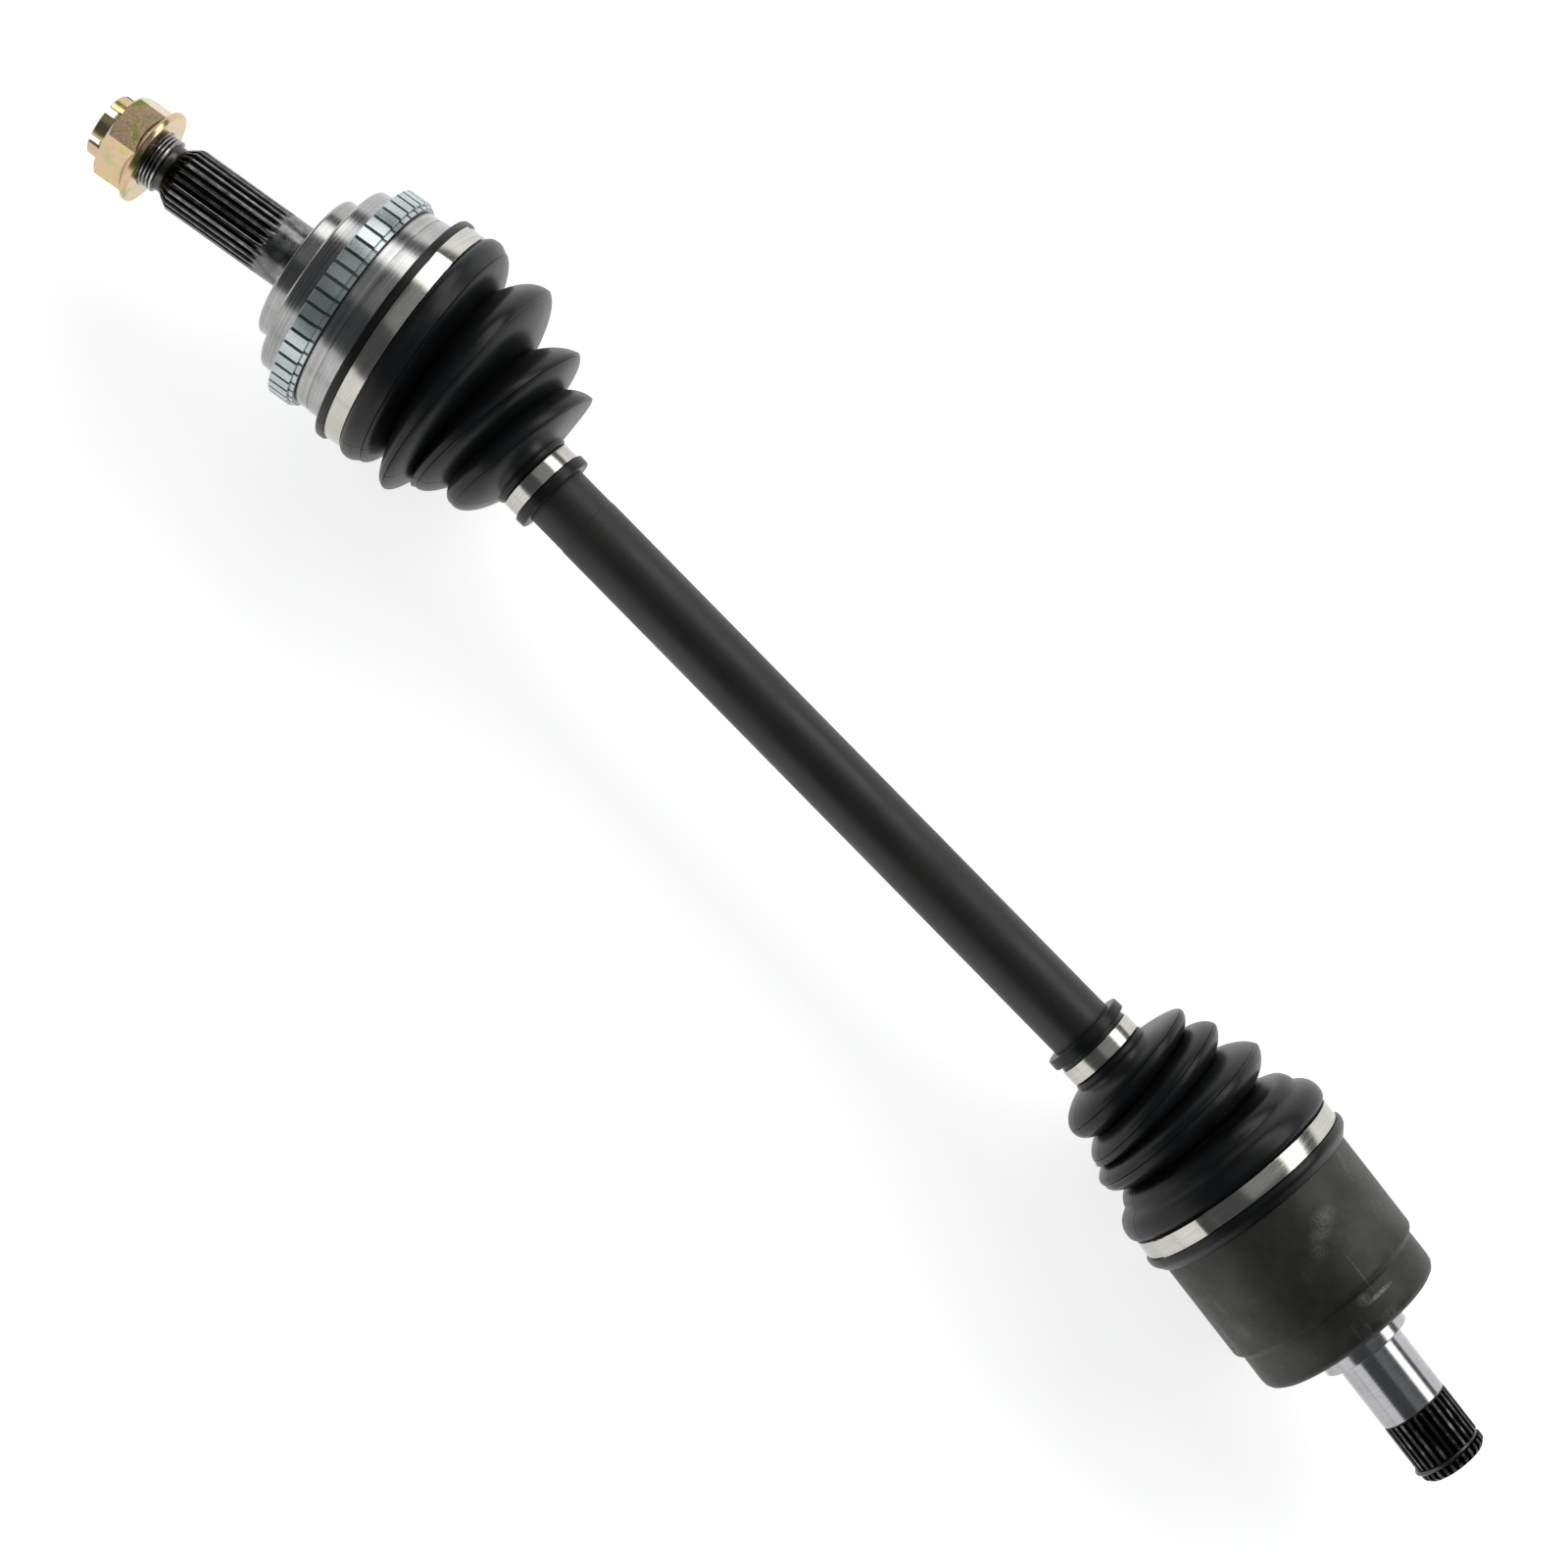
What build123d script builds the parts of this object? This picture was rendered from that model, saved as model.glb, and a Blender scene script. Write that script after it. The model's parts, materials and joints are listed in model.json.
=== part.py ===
"""Front drive shaft of a car: a ball joint at the wheel end, a tripod joint at the gearbox end.

Units are millimetres and +Z is up.  The origin is the centre of the shoulder that seats on the
wheel hub, and +X runs out along the hub stub.  The shaft lies flat with both joints bent a little
the same way, in the XY plane.

Every group of pieces is drawn in a frame of its own, whose origin is a joint centre:
  wheel side    X outboard along the hub stub, origin at the ball joint's centre
  shaft         X inboard along the bar, origin at the ball joint's centre
  gearbox side  X inboard along the housing, origin at the tripod joint's centre
"""
from build123d import *
import os
from math import cos, pi, radians, sin, sqrt

# ---------------------------------------------------------------- driving sizes
# the whole axle
joint_spacing = 461.5        # ball joint centre to tripod joint centre
outer_bend = 9.9             # degrees, wheel side against the bar, as it lies
inner_bend = 6.6             # degrees, gearbox side against the bar, as it lies
running_gap = 0.3            # between surfaces that slide past each other
rubber_gap = 0.1             # between a rubber sleeve and what it is clamped on
thread_gap = 0.1             # radial, between nut and thread

# balls, cage and inner race
ball_count = 6
ball_r = 7.94
ball_circle_r = 27.5
track_play = 1.4             # the bell's tracks are cut this much wider than the balls
race_track_play = 2.4        # and the inner race's, which turns further against the cage
cage_wall = 4.2
cage_inset = 1.26            # its inside lies this far within the ball circle
cage_half_width = 14.5
window_play = 0.15           # along the axis, each side of a ball
window_length = 18.4
race_half_width = 11.0

# the bar
bar_r = 12.9
seat_r = 12.7                # where the outer boot's sleeve sits
neck_r = 11.5                # inside the joints
splined_end_r = 11.5
bar_step_at = 103.0          # from the ball joint's centre
neck_length = 45.0
neck_taper = 10.0
end_overhang = 3.2           # the splined ends stand out past their race and spider
clip_width = 1.2
clip_groove_depth = 0.9
clip_height = 1.4
clip_opening = 3.0
bar_chamfer = 1.0
bar_step_length = 0.6
collar_height = 0.8          # locating collar beside the race and the spider
collar_width = 2.5
collar_blend = 1.5

# bell of the ball joint, from its centre outwards
bell_wall = 5.1              # outside the ball tracks
bell_lip = 0.8               # the bell's rim stands out over the boot's seat
mouth_at = -13.0
mouth_flare = 3.0
track_reach = 21.0
seat_end_at = -0.4
groove_at = 6.6
groove_width = 0.7
groove_depth = 0.6
band_relief = 0.4            # the bell outboard of the groove is this much slimmer
cavity_rim = 3.0             # the mouth's bevel meets the cavity this far inside its radius
tone_seat_at = 12.0
tone_ring_depth = 1.5        # its seat is this much below the bell
tone_stop_at = 22.0
stop_drop = 2.5              # second boss below the tone ring's seat
boss_step_at = 30.5
hub_boss_r = 29.2
shoulder_at = 38.6
edge_chamfer = 0.8
weld = 1.0                   # pieces of one forging are drawn this far into each other

# hub stub
stub_r = 13.0
plain_length = 12.1
spline_length = 42.5
hub_spline_teeth = 26
spline_depth = 1.35
thread_relief_r = 9.4
relief_length = 4.7
thread_r = 11.0
thread_length = 23.0
spline_lead = 3.6
relief_blend = 1.6           # relief groove rising to the thread
thread_chamfer = 1.0

# tone ring
tone_teeth = 48
tone_root = 2.4              # ring wall under the slots
tone_tooth_height = 1.5
tone_slot_width = 1.1
tone_lip = 1.8

# castle nut
nut_stand_off = 67.2         # flange face from the hub shoulder
nut_across_flats = 32.0
nut_flange_r = 19.2
nut_flange_height = 5.6
nut_hex_height = 10.2
nut_crown_r = 12.6
nut_crown_height = 6.3
nut_slot_width = 3.4
nut_rim_height = 2.2         # upright rim of the flange
nut_edge = 0.8
nut_neck = 0.6               # the flange's cone ends this far within the flats
nut_corner_height = 1.5      # bevel on the hexagon's corners
nut_corner_cut = 1.9
nut_crown_edge = 0.6
nut_turn = -11.0             # degrees, a corner from straight up

# clamps
band_thickness = 0.85
large_band_width = 7.2
small_band_width = 6.4
band_overlap = 50.0          # degrees of double band
tail_height = 1.0
tail_inset = 0.8
band_fuse = 0.05             # the second layer is drawn this far into the first
band_side_gap = 0.1

# outer boot
boot_wall = 2.5
large_sleeve_wall = 3.9
small_sleeve_wall = 2.0
bead_height = 2.0
large_bead_width = 3.2
small_bead_width = 4.2
outer_shoulder_height = 2.4
outer_shoulder_length = 8.0
outer_shoulder_drop = 1.6    # its end falls this much
outer_shoulder_fall = 4.0    # over this length
shoulder_rise = 2.5          # from the band's land up to the shoulder
bead_edge = 0.6
neck_swell = 1.2             # small sleeve's neck over its land
land_lead = 1.5
rubber_lip = 0.5             # the thick sleeve starts this far past the bell's or housing's mouth
outer_band_at = -7.6         # middle of the large band, wheel side frame
outer_small_band_at = 79.3   # middle of the small band, from the ball joint's centre
collar_lead = 2.6            # plain rubber between the small band and the folds
# folds from the large end to the small end: share of the way, share of the radius between the
# small end and the large end, sideways offset, tilt in degrees
outer_folds = [
    (0.106, 0.580, 2.3, 10.0),
    (0.304, 0.972, 3.4, 4.4),
    (0.458, 0.500, -1.5, 1.9),
    (0.596, 0.715, 3.4, -5.8),
    (0.732, 0.354, 0.9, -5.2),
    (0.866, 0.508, 1.7, -8.0),
]

# inner boot
inner_sleeve_wall = 2.0
inner_shoulder_height = 2.3
inner_shoulder_length = 13.7
inner_shoulder_drop = 6.5    # its end falls this much, over as long a stretch
inner_bead_width = 6.6
inner_bead_crown = 2.6       # full height over this width, then a slope
inner_bead_lip = 0.8
inner_band_at = -21.0        # middle of the large band, gearbox side frame
inner_small_band_at = 89.6   # middle of the small band, back from the tripod joint's centre
inner_folds = [
    (0.868, 0.493, 2.2, -4.4),
    (0.703, 0.775, 4.3, -1.4),
    (0.541, 0.493, 0.4, 1.4),
    (0.437, 0.616, 3.1, 4.9),
    (0.284, 0.342, 1.8, 6.0),
    (0.156, 0.493, 1.4, 5.0),
]

# tripod
roller_count = 3
roller_r = 16.5
roller_half_width = 6.5
roller_circle_r = 22.5
roller_play = 0.65           # between roller and track
trunnion_r = 9.0
trunnion_end = 3.2           # past the roller
needle_r = 1.0
needle_play = 0.05
needle_count = 28
needle_length = 11.5
washer_thickness = 0.8
washer_overlap = 4.5
washer_gap = 0.2
spider_half_width = 12.0
spider_r = 15.5

# housing of the tripod joint
housing_wall = 4.0           # at the corners of the roller tracks
housing_mouth_at = -27.0
housing_step_at = 33.0
housing_step = 2.1
housing_end_at = 48.6
housing_end_round = 5.0
cavity_end_at = 40.0
roof_play = 1.8              # track roof past the trunnions' ends
mouth_cone_r = 28.0
mouth_cone_end_at = -4.0
mouth_cone_drop = 10.0
run_out = 0.8                # spline's end at the journal
boss_edge = 0.5
wire_play = 0.1              # each side of the ring's wire in its groove
seal_boss_r = 18.0
seal_boss_length = 8.6
journal_r = 13.5
journal_length = 27.4
gear_spline_length = 26.3
gear_spline_teeth = 28
stub_chamfer = 1.8
ring_from_end = 5.2
ring_wire_r = 0.85
ring_circle_r = 12.9
ring_sag = 0.9               # the loose ring hangs to one side of its groove
ring_opening = 24.0          # degrees

# ---------------------------------------------------------------- sizes that follow
cage_inner_r = ball_circle_r - cage_inset
cage_outer_r = cage_inner_r + cage_wall
race_r = cage_inner_r - running_gap
cavity_r = cage_outer_r + running_gap
track_r = ball_r + track_play
bell_seat_r = ball_circle_r + track_r + bell_wall
bell_r = bell_seat_r + bell_lip
tone_seat_r = bell_r - tone_ring_depth
tone_tip_r = tone_seat_r + tone_root + tone_tooth_height
stop_boss_r = tone_seat_r - stop_drop
spline_start = shoulder_at + plain_length
spline_end = spline_start + spline_length
thread_start = spline_end + spline_lead + relief_length
stub_end = thread_start + thread_length
nut_face = shoulder_at + nut_stand_off
nut_top = nut_face + nut_flange_height + nut_hex_height
spider_clip_at = joint_spacing + spider_half_width
roller_end = roller_circle_r + roller_half_width
lobe_half = roller_r + roller_play
lobe_roof = roller_end + trunnion_end + roof_play
lobe_corner = sqrt(lobe_half ** 2 - (lobe_roof - roller_circle_r) ** 2)
housing_r = round(sqrt(lobe_roof ** 2 + lobe_corner ** 2) + housing_wall, 2)
stub_root_r = journal_r - spline_depth
gear_stub_end = housing_end_at + seal_boss_length + journal_length + gear_spline_length
set_ring_at = gear_stub_end - ring_from_end

shaft_turn = 180 - outer_bend
wheel_frame = Pos(-shoulder_at, 0, 0)
shaft_frame = wheel_frame * Rot(0, 0, shaft_turn)
gearbox_frame = shaft_frame * Pos(joint_spacing, 0, 0) * Rot(0, 0, -inner_bend)


# ---------------------------------------------------------------- helpers
def turned(*outline):
    """A solid turned about the X axis from its half outline, as (x, radius) points."""
    return revolve(make_face(Polyline(*outline, close=True)), Axis.X)


def ring(x0, x1, r_in, r_out, arc=360):
    """A plain ring about the X axis, or an arc of one."""
    outline = Polyline((x0, r_in), (x1, r_in), (x1, r_out), (x0, r_out), close=True)
    return revolve(make_face(outline), Axis.X, arc)


def along_x(sketch, x0, x1):
    """A flat shape drawn on Y and Z, made solid from x0 to x1."""
    return extrude(Plane.YZ.offset(x0) * sketch, x1 - x0)


def around_x(shape, count, start=0.0):
    """Copies of a shape, evenly round the X axis."""
    return [Rot(start + 360 * i / count, 0, 0) * shape for i in range(count)]


def splined(x0, x1, tip_r, root_r, teeth):
    """A shaft length with straight teeth, as its cross-section made solid."""
    pitch = 2 * pi / teeth
    outline = []
    for tooth in range(teeth):
        for share, r in ((-0.36, root_r), (-0.19, tip_r), (0.19, tip_r), (0.36, root_r)):
            angle = (tooth + share) * pitch
            outline.append((r * cos(angle), r * sin(angle)))
    return along_x(make_face(Polyline(*outline, close=True)), x0, x1)


def clamp_band(middle, width, r_in, tail_turn, overlap):
    """A steel boot band: a closed loop, a second layer where its ends overlap, and a short tail."""
    x0 = middle - width / 2
    x1 = middle + width / 2
    r_out = r_in + band_thickness
    loop = ring(x0, x1, r_in, r_out)
    second = Rot(tail_turn, 0, 0) * ring(x0, x1, r_out - band_fuse, r_out + band_thickness,
                                         overlap)
    tail_arc = overlap / 8
    tail = Rot(tail_turn, 0, 0) * ring(x0 + tail_inset, x1 - tail_inset, r_out,
                                       r_out + band_thickness + tail_height, tail_arc)
    return loop + second + tail


def bellows(rings, wall):
    """Folded rubber between tilted rings, each (station, offset, radius, tilt), hollow inside."""
    def skin(shrink):
        faces = [Pos(x, y, 0) * Rot(0, 0, tilt) * Rot(0, 90, 0) * Circle(r - shrink)
                 for x, y, r, tilt in rings]
        return loft(faces, ruled=True)
    return skin(0) - skin(wall)


def fold_rings(folds, start, end, large_r, small_r):
    """The folds' own rings, from their shares of the way and of the radius."""
    return [(start + (end - start) * way, offset, small_r + (large_r - small_r) * height, tilt)
            for way, height, offset, tilt in folds]


# ---------------------------------------------------------------- wheel side
def make_outer_race():
    """Bell, hub boss and hub stub, one forging."""
    mouth_r = sqrt(cavity_r ** 2 - mouth_at ** 2) + mouth_flare
    bevel_end = mouth_at + mouth_flare + weld
    body = turned(
        (mouth_at, 0), (mouth_at, bell_seat_r - edge_chamfer), (mouth_at + edge_chamfer, bell_seat_r),
        (seat_end_at, bell_seat_r), (seat_end_at, bell_r),
        (groove_at - groove_width, bell_r), (groove_at - groove_width, bell_r - groove_depth),
        (groove_at, bell_r - groove_depth), (groove_at, bell_r - band_relief),
        (tone_seat_at, bell_r - band_relief), (tone_seat_at, tone_seat_r),
        (tone_stop_at, tone_seat_r), (tone_stop_at, stop_boss_r),
        (boss_step_at - edge_chamfer, stop_boss_r), (boss_step_at, stop_boss_r - edge_chamfer),
        (boss_step_at, hub_boss_r), (shoulder_at - edge_chamfer, hub_boss_r),
        (shoulder_at, hub_boss_r - edge_chamfer), (shoulder_at, 0))
    body -= Sphere(cavity_r)
    body -= turned((mouth_at, 0), (mouth_at, mouth_r), (bevel_end, cavity_r - cavity_rim), (bevel_end, 0))
    tracks = Rot(90, 0, 0) * Torus(ball_circle_r, track_r)
    side = 4 * bell_r
    slab = Pos((mouth_at + track_reach) / 2, 0, 0) * Box(track_reach - mouth_at + 0.02, side, side)
    for track in around_x(tracks & slab, ball_count // 2):
        body -= track
    stub = turned(
        (shoulder_at - weld, 0), (shoulder_at - weld, stub_r), (spline_start, stub_r),
        (spline_start + 2 * spline_depth, stub_r - spline_depth), (spline_end, stub_r - spline_depth),
        (spline_end + spline_lead, thread_relief_r),
        (thread_start - relief_blend, thread_relief_r), (thread_start, thread_r),
        (stub_end - thread_chamfer, thread_r), (stub_end, thread_r - thread_chamfer), (stub_end, 0))
    teeth = splined(spline_start, spline_end + spline_lead, stub_r, stub_r - spline_depth,
                    hub_spline_teeth)
    teeth &= turned((spline_start - weld, 0), (spline_start - weld, stub_r + weld),
                    (spline_end, stub_r + weld), (spline_end, stub_r),
                    (spline_end + spline_lead, thread_relief_r), (spline_end + spline_lead, 0))
    return body + stub + teeth


def make_tone_ring():
    """Toothed ring that a wheel speed sensor reads, pressed on the bell."""
    root_r = tone_seat_r + tone_root
    slot = Pos(root_r + tone_tooth_height, 0) * Rectangle(2 * tone_tooth_height, tone_slot_width)
    face = Circle(tone_tip_r) - Circle(tone_seat_r)
    face -= [Rot(0, 0, 360 * i / tone_teeth) * slot for i in range(tone_teeth)]
    teeth = along_x(face, tone_seat_at + tone_lip, tone_stop_at)
    return teeth + ring(tone_seat_at, tone_seat_at + tone_lip, tone_seat_r, root_r)


def make_axle_nut():
    """Castle nut with a conical flange."""
    corner_r = nut_across_flats / sqrt(3)
    hex_start = nut_face + nut_flange_height
    crown_end = nut_top + nut_crown_height
    blank = along_x(RegularPolygon(corner_r, 6), nut_face, nut_top)
    blank &= turned((nut_face, 0), (nut_face, nut_flange_r), (nut_top - nut_corner_height, corner_r),
                    (nut_top, corner_r - nut_corner_cut), (nut_top, 0))
    flange = turned((nut_face, 0), (nut_face, nut_flange_r - nut_edge), (nut_face + nut_edge, nut_flange_r),
                    (nut_face + nut_rim_height, nut_flange_r), (hex_start, nut_across_flats / 2 - nut_neck),
                    (hex_start, 0))
    crown = turned((nut_top - weld, 0), (nut_top - weld, nut_crown_r),
                   (crown_end - nut_crown_edge, nut_crown_r), (crown_end, nut_crown_r - nut_crown_edge),
                   (crown_end, 0))
    slot = Pos(crown_end, nut_crown_r, 0) * Box(2 * nut_crown_height, 2 * nut_crown_r, nut_slot_width)
    for cut in around_x(slot, 6, start=30):
        crown -= cut
    nut = blank + flange + crown
    bore_r = thread_r + thread_gap
    nut -= ring(nut_face - weld, crown_end + weld, 0, bore_r)
    return Rot(nut_turn, 0, 0) * Rot(90, 0, 0) * nut


def make_cage():
    """Spherical ring with a window for every ball."""
    side = 3 * cage_outer_r
    cage = Sphere(cage_outer_r) & Box(2 * cage_half_width, side, side)
    cage -= Sphere(cage_inner_r)
    window = Pos(0, 0, ball_circle_r) * Box(2 * (ball_r + window_play), window_length, ball_circle_r)
    for cut in around_x(window, ball_count):
        cage -= cut
    return cage


def make_inner_race():
    """Spherical star on the bar's splined end, with a track for every ball."""
    side = 3 * race_r
    race = Sphere(race_r) & Box(2 * race_half_width, side, side)
    race -= Rot(0, 90, 0) * Cylinder(splined_end_r, side)
    tracks = Rot(90, 0, 0) * Torus(ball_circle_r, ball_r + race_track_play)
    for track in around_x(tracks, ball_count // 2):
        race -= track
    return race


# ---------------------------------------------------------------- shaft
def make_axle_shaft():
    """The bar, with a neck and a splined end in each joint."""
    start = -race_half_width - end_overhang
    end = spider_clip_at + end_overhang
    far_neck = joint_spacing - neck_length
    groove_r = splined_end_r - clip_groove_depth
    collar_r = splined_end_r + collar_height
    spider_face = joint_spacing - spider_half_width
    bar = turned(
        (start, 0), (start, splined_end_r - bar_chamfer), (start + bar_chamfer, splined_end_r),
        (-race_half_width - clip_width, splined_end_r), (-race_half_width - clip_width, groove_r),
        (-race_half_width, groove_r), (-race_half_width, splined_end_r),
        (race_half_width, splined_end_r), (race_half_width, collar_r),
        (race_half_width + collar_width, collar_r),
        (race_half_width + collar_width + collar_blend, neck_r),
        (neck_length, neck_r), (neck_length + neck_taper, seat_r),
        (bar_step_at, seat_r), (bar_step_at + bar_step_length, bar_r),
        (far_neck - neck_taper, bar_r), (far_neck, neck_r),
        (spider_face - collar_width - collar_blend, neck_r), (spider_face - collar_width, collar_r),
        (spider_face, collar_r), (spider_face, splined_end_r),
        (spider_clip_at, splined_end_r), (spider_clip_at, groove_r),
        (spider_clip_at + clip_width, groove_r), (spider_clip_at + clip_width, splined_end_r),
        (end - bar_chamfer, splined_end_r), (end, splined_end_r - bar_chamfer), (end, 0))
    return bar


def make_shaft_clip(x0):
    """Open spring ring in a groove of the bar."""
    groove_r = splined_end_r - clip_groove_depth
    clip = ring(x0, x0 + clip_width, groove_r, groove_r + clip_height + clip_groove_depth)
    gap = Pos(x0, 0, -groove_r) * Box(4 * clip_width, clip_opening, groove_r)
    return clip - gap


def make_outer_boot():
    """Folded rubber boot of the ball joint."""
    bore = bell_seat_r + rubber_gap
    land = bell_seat_r + large_sleeve_wall
    bead = land + bead_height
    shoulder = land + outer_shoulder_height
    band_half = large_band_width / 2 + band_side_gap
    band_out = outer_band_at + band_half
    band_in = outer_band_at - band_half
    last = band_in - outer_shoulder_length
    last_r = shoulder - outer_shoulder_drop
    large = turned(
        (band_out + large_bead_width, bore), (band_out + large_bead_width, bead - bead_edge),
        (band_out + large_bead_width - bead_edge, bead), (band_out, bead), (band_out, land),
        (band_in, land), (band_in - shoulder_rise, shoulder), (last + outer_shoulder_fall, shoulder),
        (last, last_r), (last, last_r - boot_wall), (mouth_at - shoulder_rise, last_r - boot_wall),
        (mouth_at - rubber_lip, bore))
    # the large end's last ring, seen from the bar
    bend = radians(outer_bend)
    large_ring = (-last * cos(bend), -last * sin(bend), last_r, outer_bend)
    small_r = seat_r + rubber_gap + small_sleeve_wall
    small_start = outer_small_band_at - small_band_width / 2 - collar_lead
    neck = small_r + neck_swell
    folds = fold_rings(outer_folds, -last, small_start, shoulder, neck)
    rings = [large_ring] + folds + [(small_start, 0, neck, 0)]
    return to_shaft(large) + bellows(rings, boot_wall) + small_collar(
        small_start, outer_small_band_at, 1, seat_r, neck)


def to_shaft(shape):
    """A wheel side shape, carried into the shaft's frame."""
    return Rot(0, 0, -shaft_turn) * shape


def small_collar(start, band_at, way, shaft_r, neck):
    """A boot's small sleeve: neck, land for the band and end bead; way is +1 inboard, -1 outboard."""
    bore = shaft_r + rubber_gap
    land = bore + small_sleeve_wall
    half = small_band_width / 2 + band_side_gap
    near = band_at - way * half
    far = band_at + way * half
    end = far + way * small_bead_width
    return turned(
        (start, neck - boot_wall), (start, neck), (near - way * land_lead, neck), (near, land),
        (far, land), (far, land + bead_height), (end - way * bead_edge, land + bead_height),
        (end, land + bead_height - bead_edge), (end, bore), (near - way * land_lead, bore))


# ---------------------------------------------------------------- gearbox side
def make_inner_boot():
    """Folded rubber boot of the tripod joint."""
    bore = housing_r + rubber_gap
    land = housing_r + inner_sleeve_wall
    bead = land + bead_height
    shoulder = land + inner_shoulder_height
    band_half = large_band_width / 2 + band_side_gap
    band_out = inner_band_at + band_half
    band_in = inner_band_at - band_half
    last = band_in - inner_shoulder_length
    fall_start = last + inner_shoulder_drop
    last_r = shoulder - inner_shoulder_drop
    large = turned(
        (band_out + inner_bead_width, bore), (band_out + inner_bead_width, bore + inner_bead_lip),
        (band_out + inner_bead_crown, bead), (band_out, bead), (band_out, land), (band_in, land),
        (band_in - shoulder_rise, shoulder), (fall_start, shoulder), (last, last_r),
        (last, last_r - boot_wall), (fall_start, shoulder - boot_wall),
        (housing_mouth_at - boot_wall, shoulder - boot_wall), (housing_mouth_at - rubber_lip, bore))
    carried = Pos(joint_spacing, 0, 0) * Rot(0, 0, -inner_bend) * large
    bend = radians(inner_bend)
    large_ring = (joint_spacing + last * cos(bend), -last * sin(bend), last_r, -inner_bend)
    small_r = bar_r + rubber_gap + small_sleeve_wall
    band_at = joint_spacing - inner_small_band_at
    small_start = band_at + small_band_width / 2 + collar_lead
    neck = small_r + neck_swell
    folds = fold_rings(inner_folds, small_start, large_ring[0], shoulder, neck)
    rings = [large_ring] + folds + [(small_start, 0, neck, 0)]
    return carried + bellows(rings, boot_wall) + small_collar(small_start, band_at, -1, bar_r, neck)


def make_spider():
    """Hub with three trunnions that carry the rollers."""
    tip = roller_end + trunnion_end
    spider = Rot(0, 90, 0) * Cylinder(spider_r, 2 * spider_half_width)
    clip_at = roller_end + 2 * washer_thickness
    trunnion = Pos(0, 0, tip / 2) * Cylinder(trunnion_r, tip)
    groove = Cylinder(trunnion_r + weld, clip_width) - Cylinder(trunnion_r - clip_groove_depth, clip_width)
    trunnion -= Pos(0, 0, clip_at + clip_width / 2) * groove
    for arm in around_x(trunnion, roller_count):
        spider += arm
    return spider - Rot(0, 90, 0) * Cylinder(splined_end_r, 4 * spider_half_width)


def make_roller():
    """Roller with a ball-shaped outside, about the Z axis at its place on the first trunnion."""
    roller = Sphere(roller_r) & Cylinder(roller_r + weld, 2 * roller_half_width)
    bore_r = trunnion_r + 2 * (needle_r + needle_play)
    return Pos(0, 0, roller_circle_r) * (roller - Cylinder(bore_r, 4 * roller_half_width))


def make_needles():
    """Full set of loose needle rollers between a trunnion and its roller."""
    needle = Pos(trunnion_r + needle_r + needle_play, 0, roller_circle_r) * Cylinder(needle_r, needle_length)
    return Compound([Rot(0, 0, 360 * i / needle_count) * needle for i in range(needle_count)])


def make_roller_washer():
    """Flat washer that keeps the needles in."""
    z = roller_end + washer_thickness / 2 + washer_gap
    disc = Cylinder(trunnion_r + washer_overlap, washer_thickness) - Cylinder(trunnion_r, washer_thickness)
    return Pos(0, 0, z) * disc


def make_roller_clip():
    """Open spring ring at a trunnion's end."""
    groove_r = trunnion_r - clip_groove_depth
    clip = Cylinder(trunnion_r + clip_height, clip_width) - Cylinder(groove_r, clip_width)
    clip -= Pos(trunnion_r, 0, 0) * Box(2 * trunnion_r, clip_opening, 2 * clip_width)
    return Pos(0, 0, roller_end + 2 * washer_thickness + clip_width / 2) * clip


def make_inner_housing():
    """Tripod housing, seal boss and gearbox stub, one forging."""
    rear_r = housing_r - housing_step
    boss_end = housing_end_at + seal_boss_length
    journal_end = boss_end + journal_length
    end = gear_stub_end
    groove_half = ring_wire_r + wire_play
    groove_r = ring_circle_r - ring_wire_r - ring_sag - wire_play
    teeth_start = journal_end + run_out
    round_mid = 0.3 * housing_end_round
    body = turned(
        (housing_mouth_at, 0), (housing_mouth_at, housing_r - edge_chamfer),
        (housing_mouth_at + edge_chamfer, housing_r), (housing_step_at - 2 * housing_step, housing_r),
        (housing_step_at, rear_r), (housing_end_at - housing_end_round, rear_r),
        (housing_end_at - round_mid, rear_r - round_mid),
        (housing_end_at, rear_r - housing_end_round),
        (housing_end_at, seal_boss_r), (boss_end - boss_edge, seal_boss_r),
        (boss_end, seal_boss_r - boss_edge), (boss_end, journal_r), (journal_end, journal_r),
        (teeth_start, stub_root_r),
        (set_ring_at - groove_half, stub_root_r), (set_ring_at - groove_half, groove_r),
        (set_ring_at + groove_half, groove_r), (set_ring_at + groove_half, stub_root_r),
        (end - stub_chamfer, stub_root_r), (end, journal_r - stub_chamfer), (end, 0))
    lobe = Pos(roller_circle_r / 2, 0) * Rectangle(roller_circle_r, 2 * lobe_half)
    lobe += Pos(roller_circle_r, 0) * Circle(lobe_half)
    lobe &= Pos(lobe_roof / 2, 0) * Rectangle(lobe_roof, 4 * lobe_half)
    first = along_x(Rot(0, 0, 90) * lobe, housing_mouth_at - weld, cavity_end_at)
    for cavity in around_x(first, roller_count):
        body -= cavity
    body -= turned((housing_mouth_at, 0), (housing_mouth_at, mouth_cone_r),
                   (mouth_cone_end_at, mouth_cone_r - mouth_cone_drop), (mouth_cone_end_at, 0))
    teeth = splined(teeth_start, end, journal_r, stub_root_r, gear_spline_teeth)
    teeth &= turned((journal_end, 0), (journal_end, journal_r + weld),
                    (set_ring_at - groove_half, journal_r + weld),
                    (set_ring_at - groove_half, groove_r), (set_ring_at + groove_half, groove_r),
                    (set_ring_at + groove_half, journal_r),
                    (end - stub_chamfer, journal_r), (end, journal_r - stub_chamfer), (end, 0))
    return body + teeth


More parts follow.
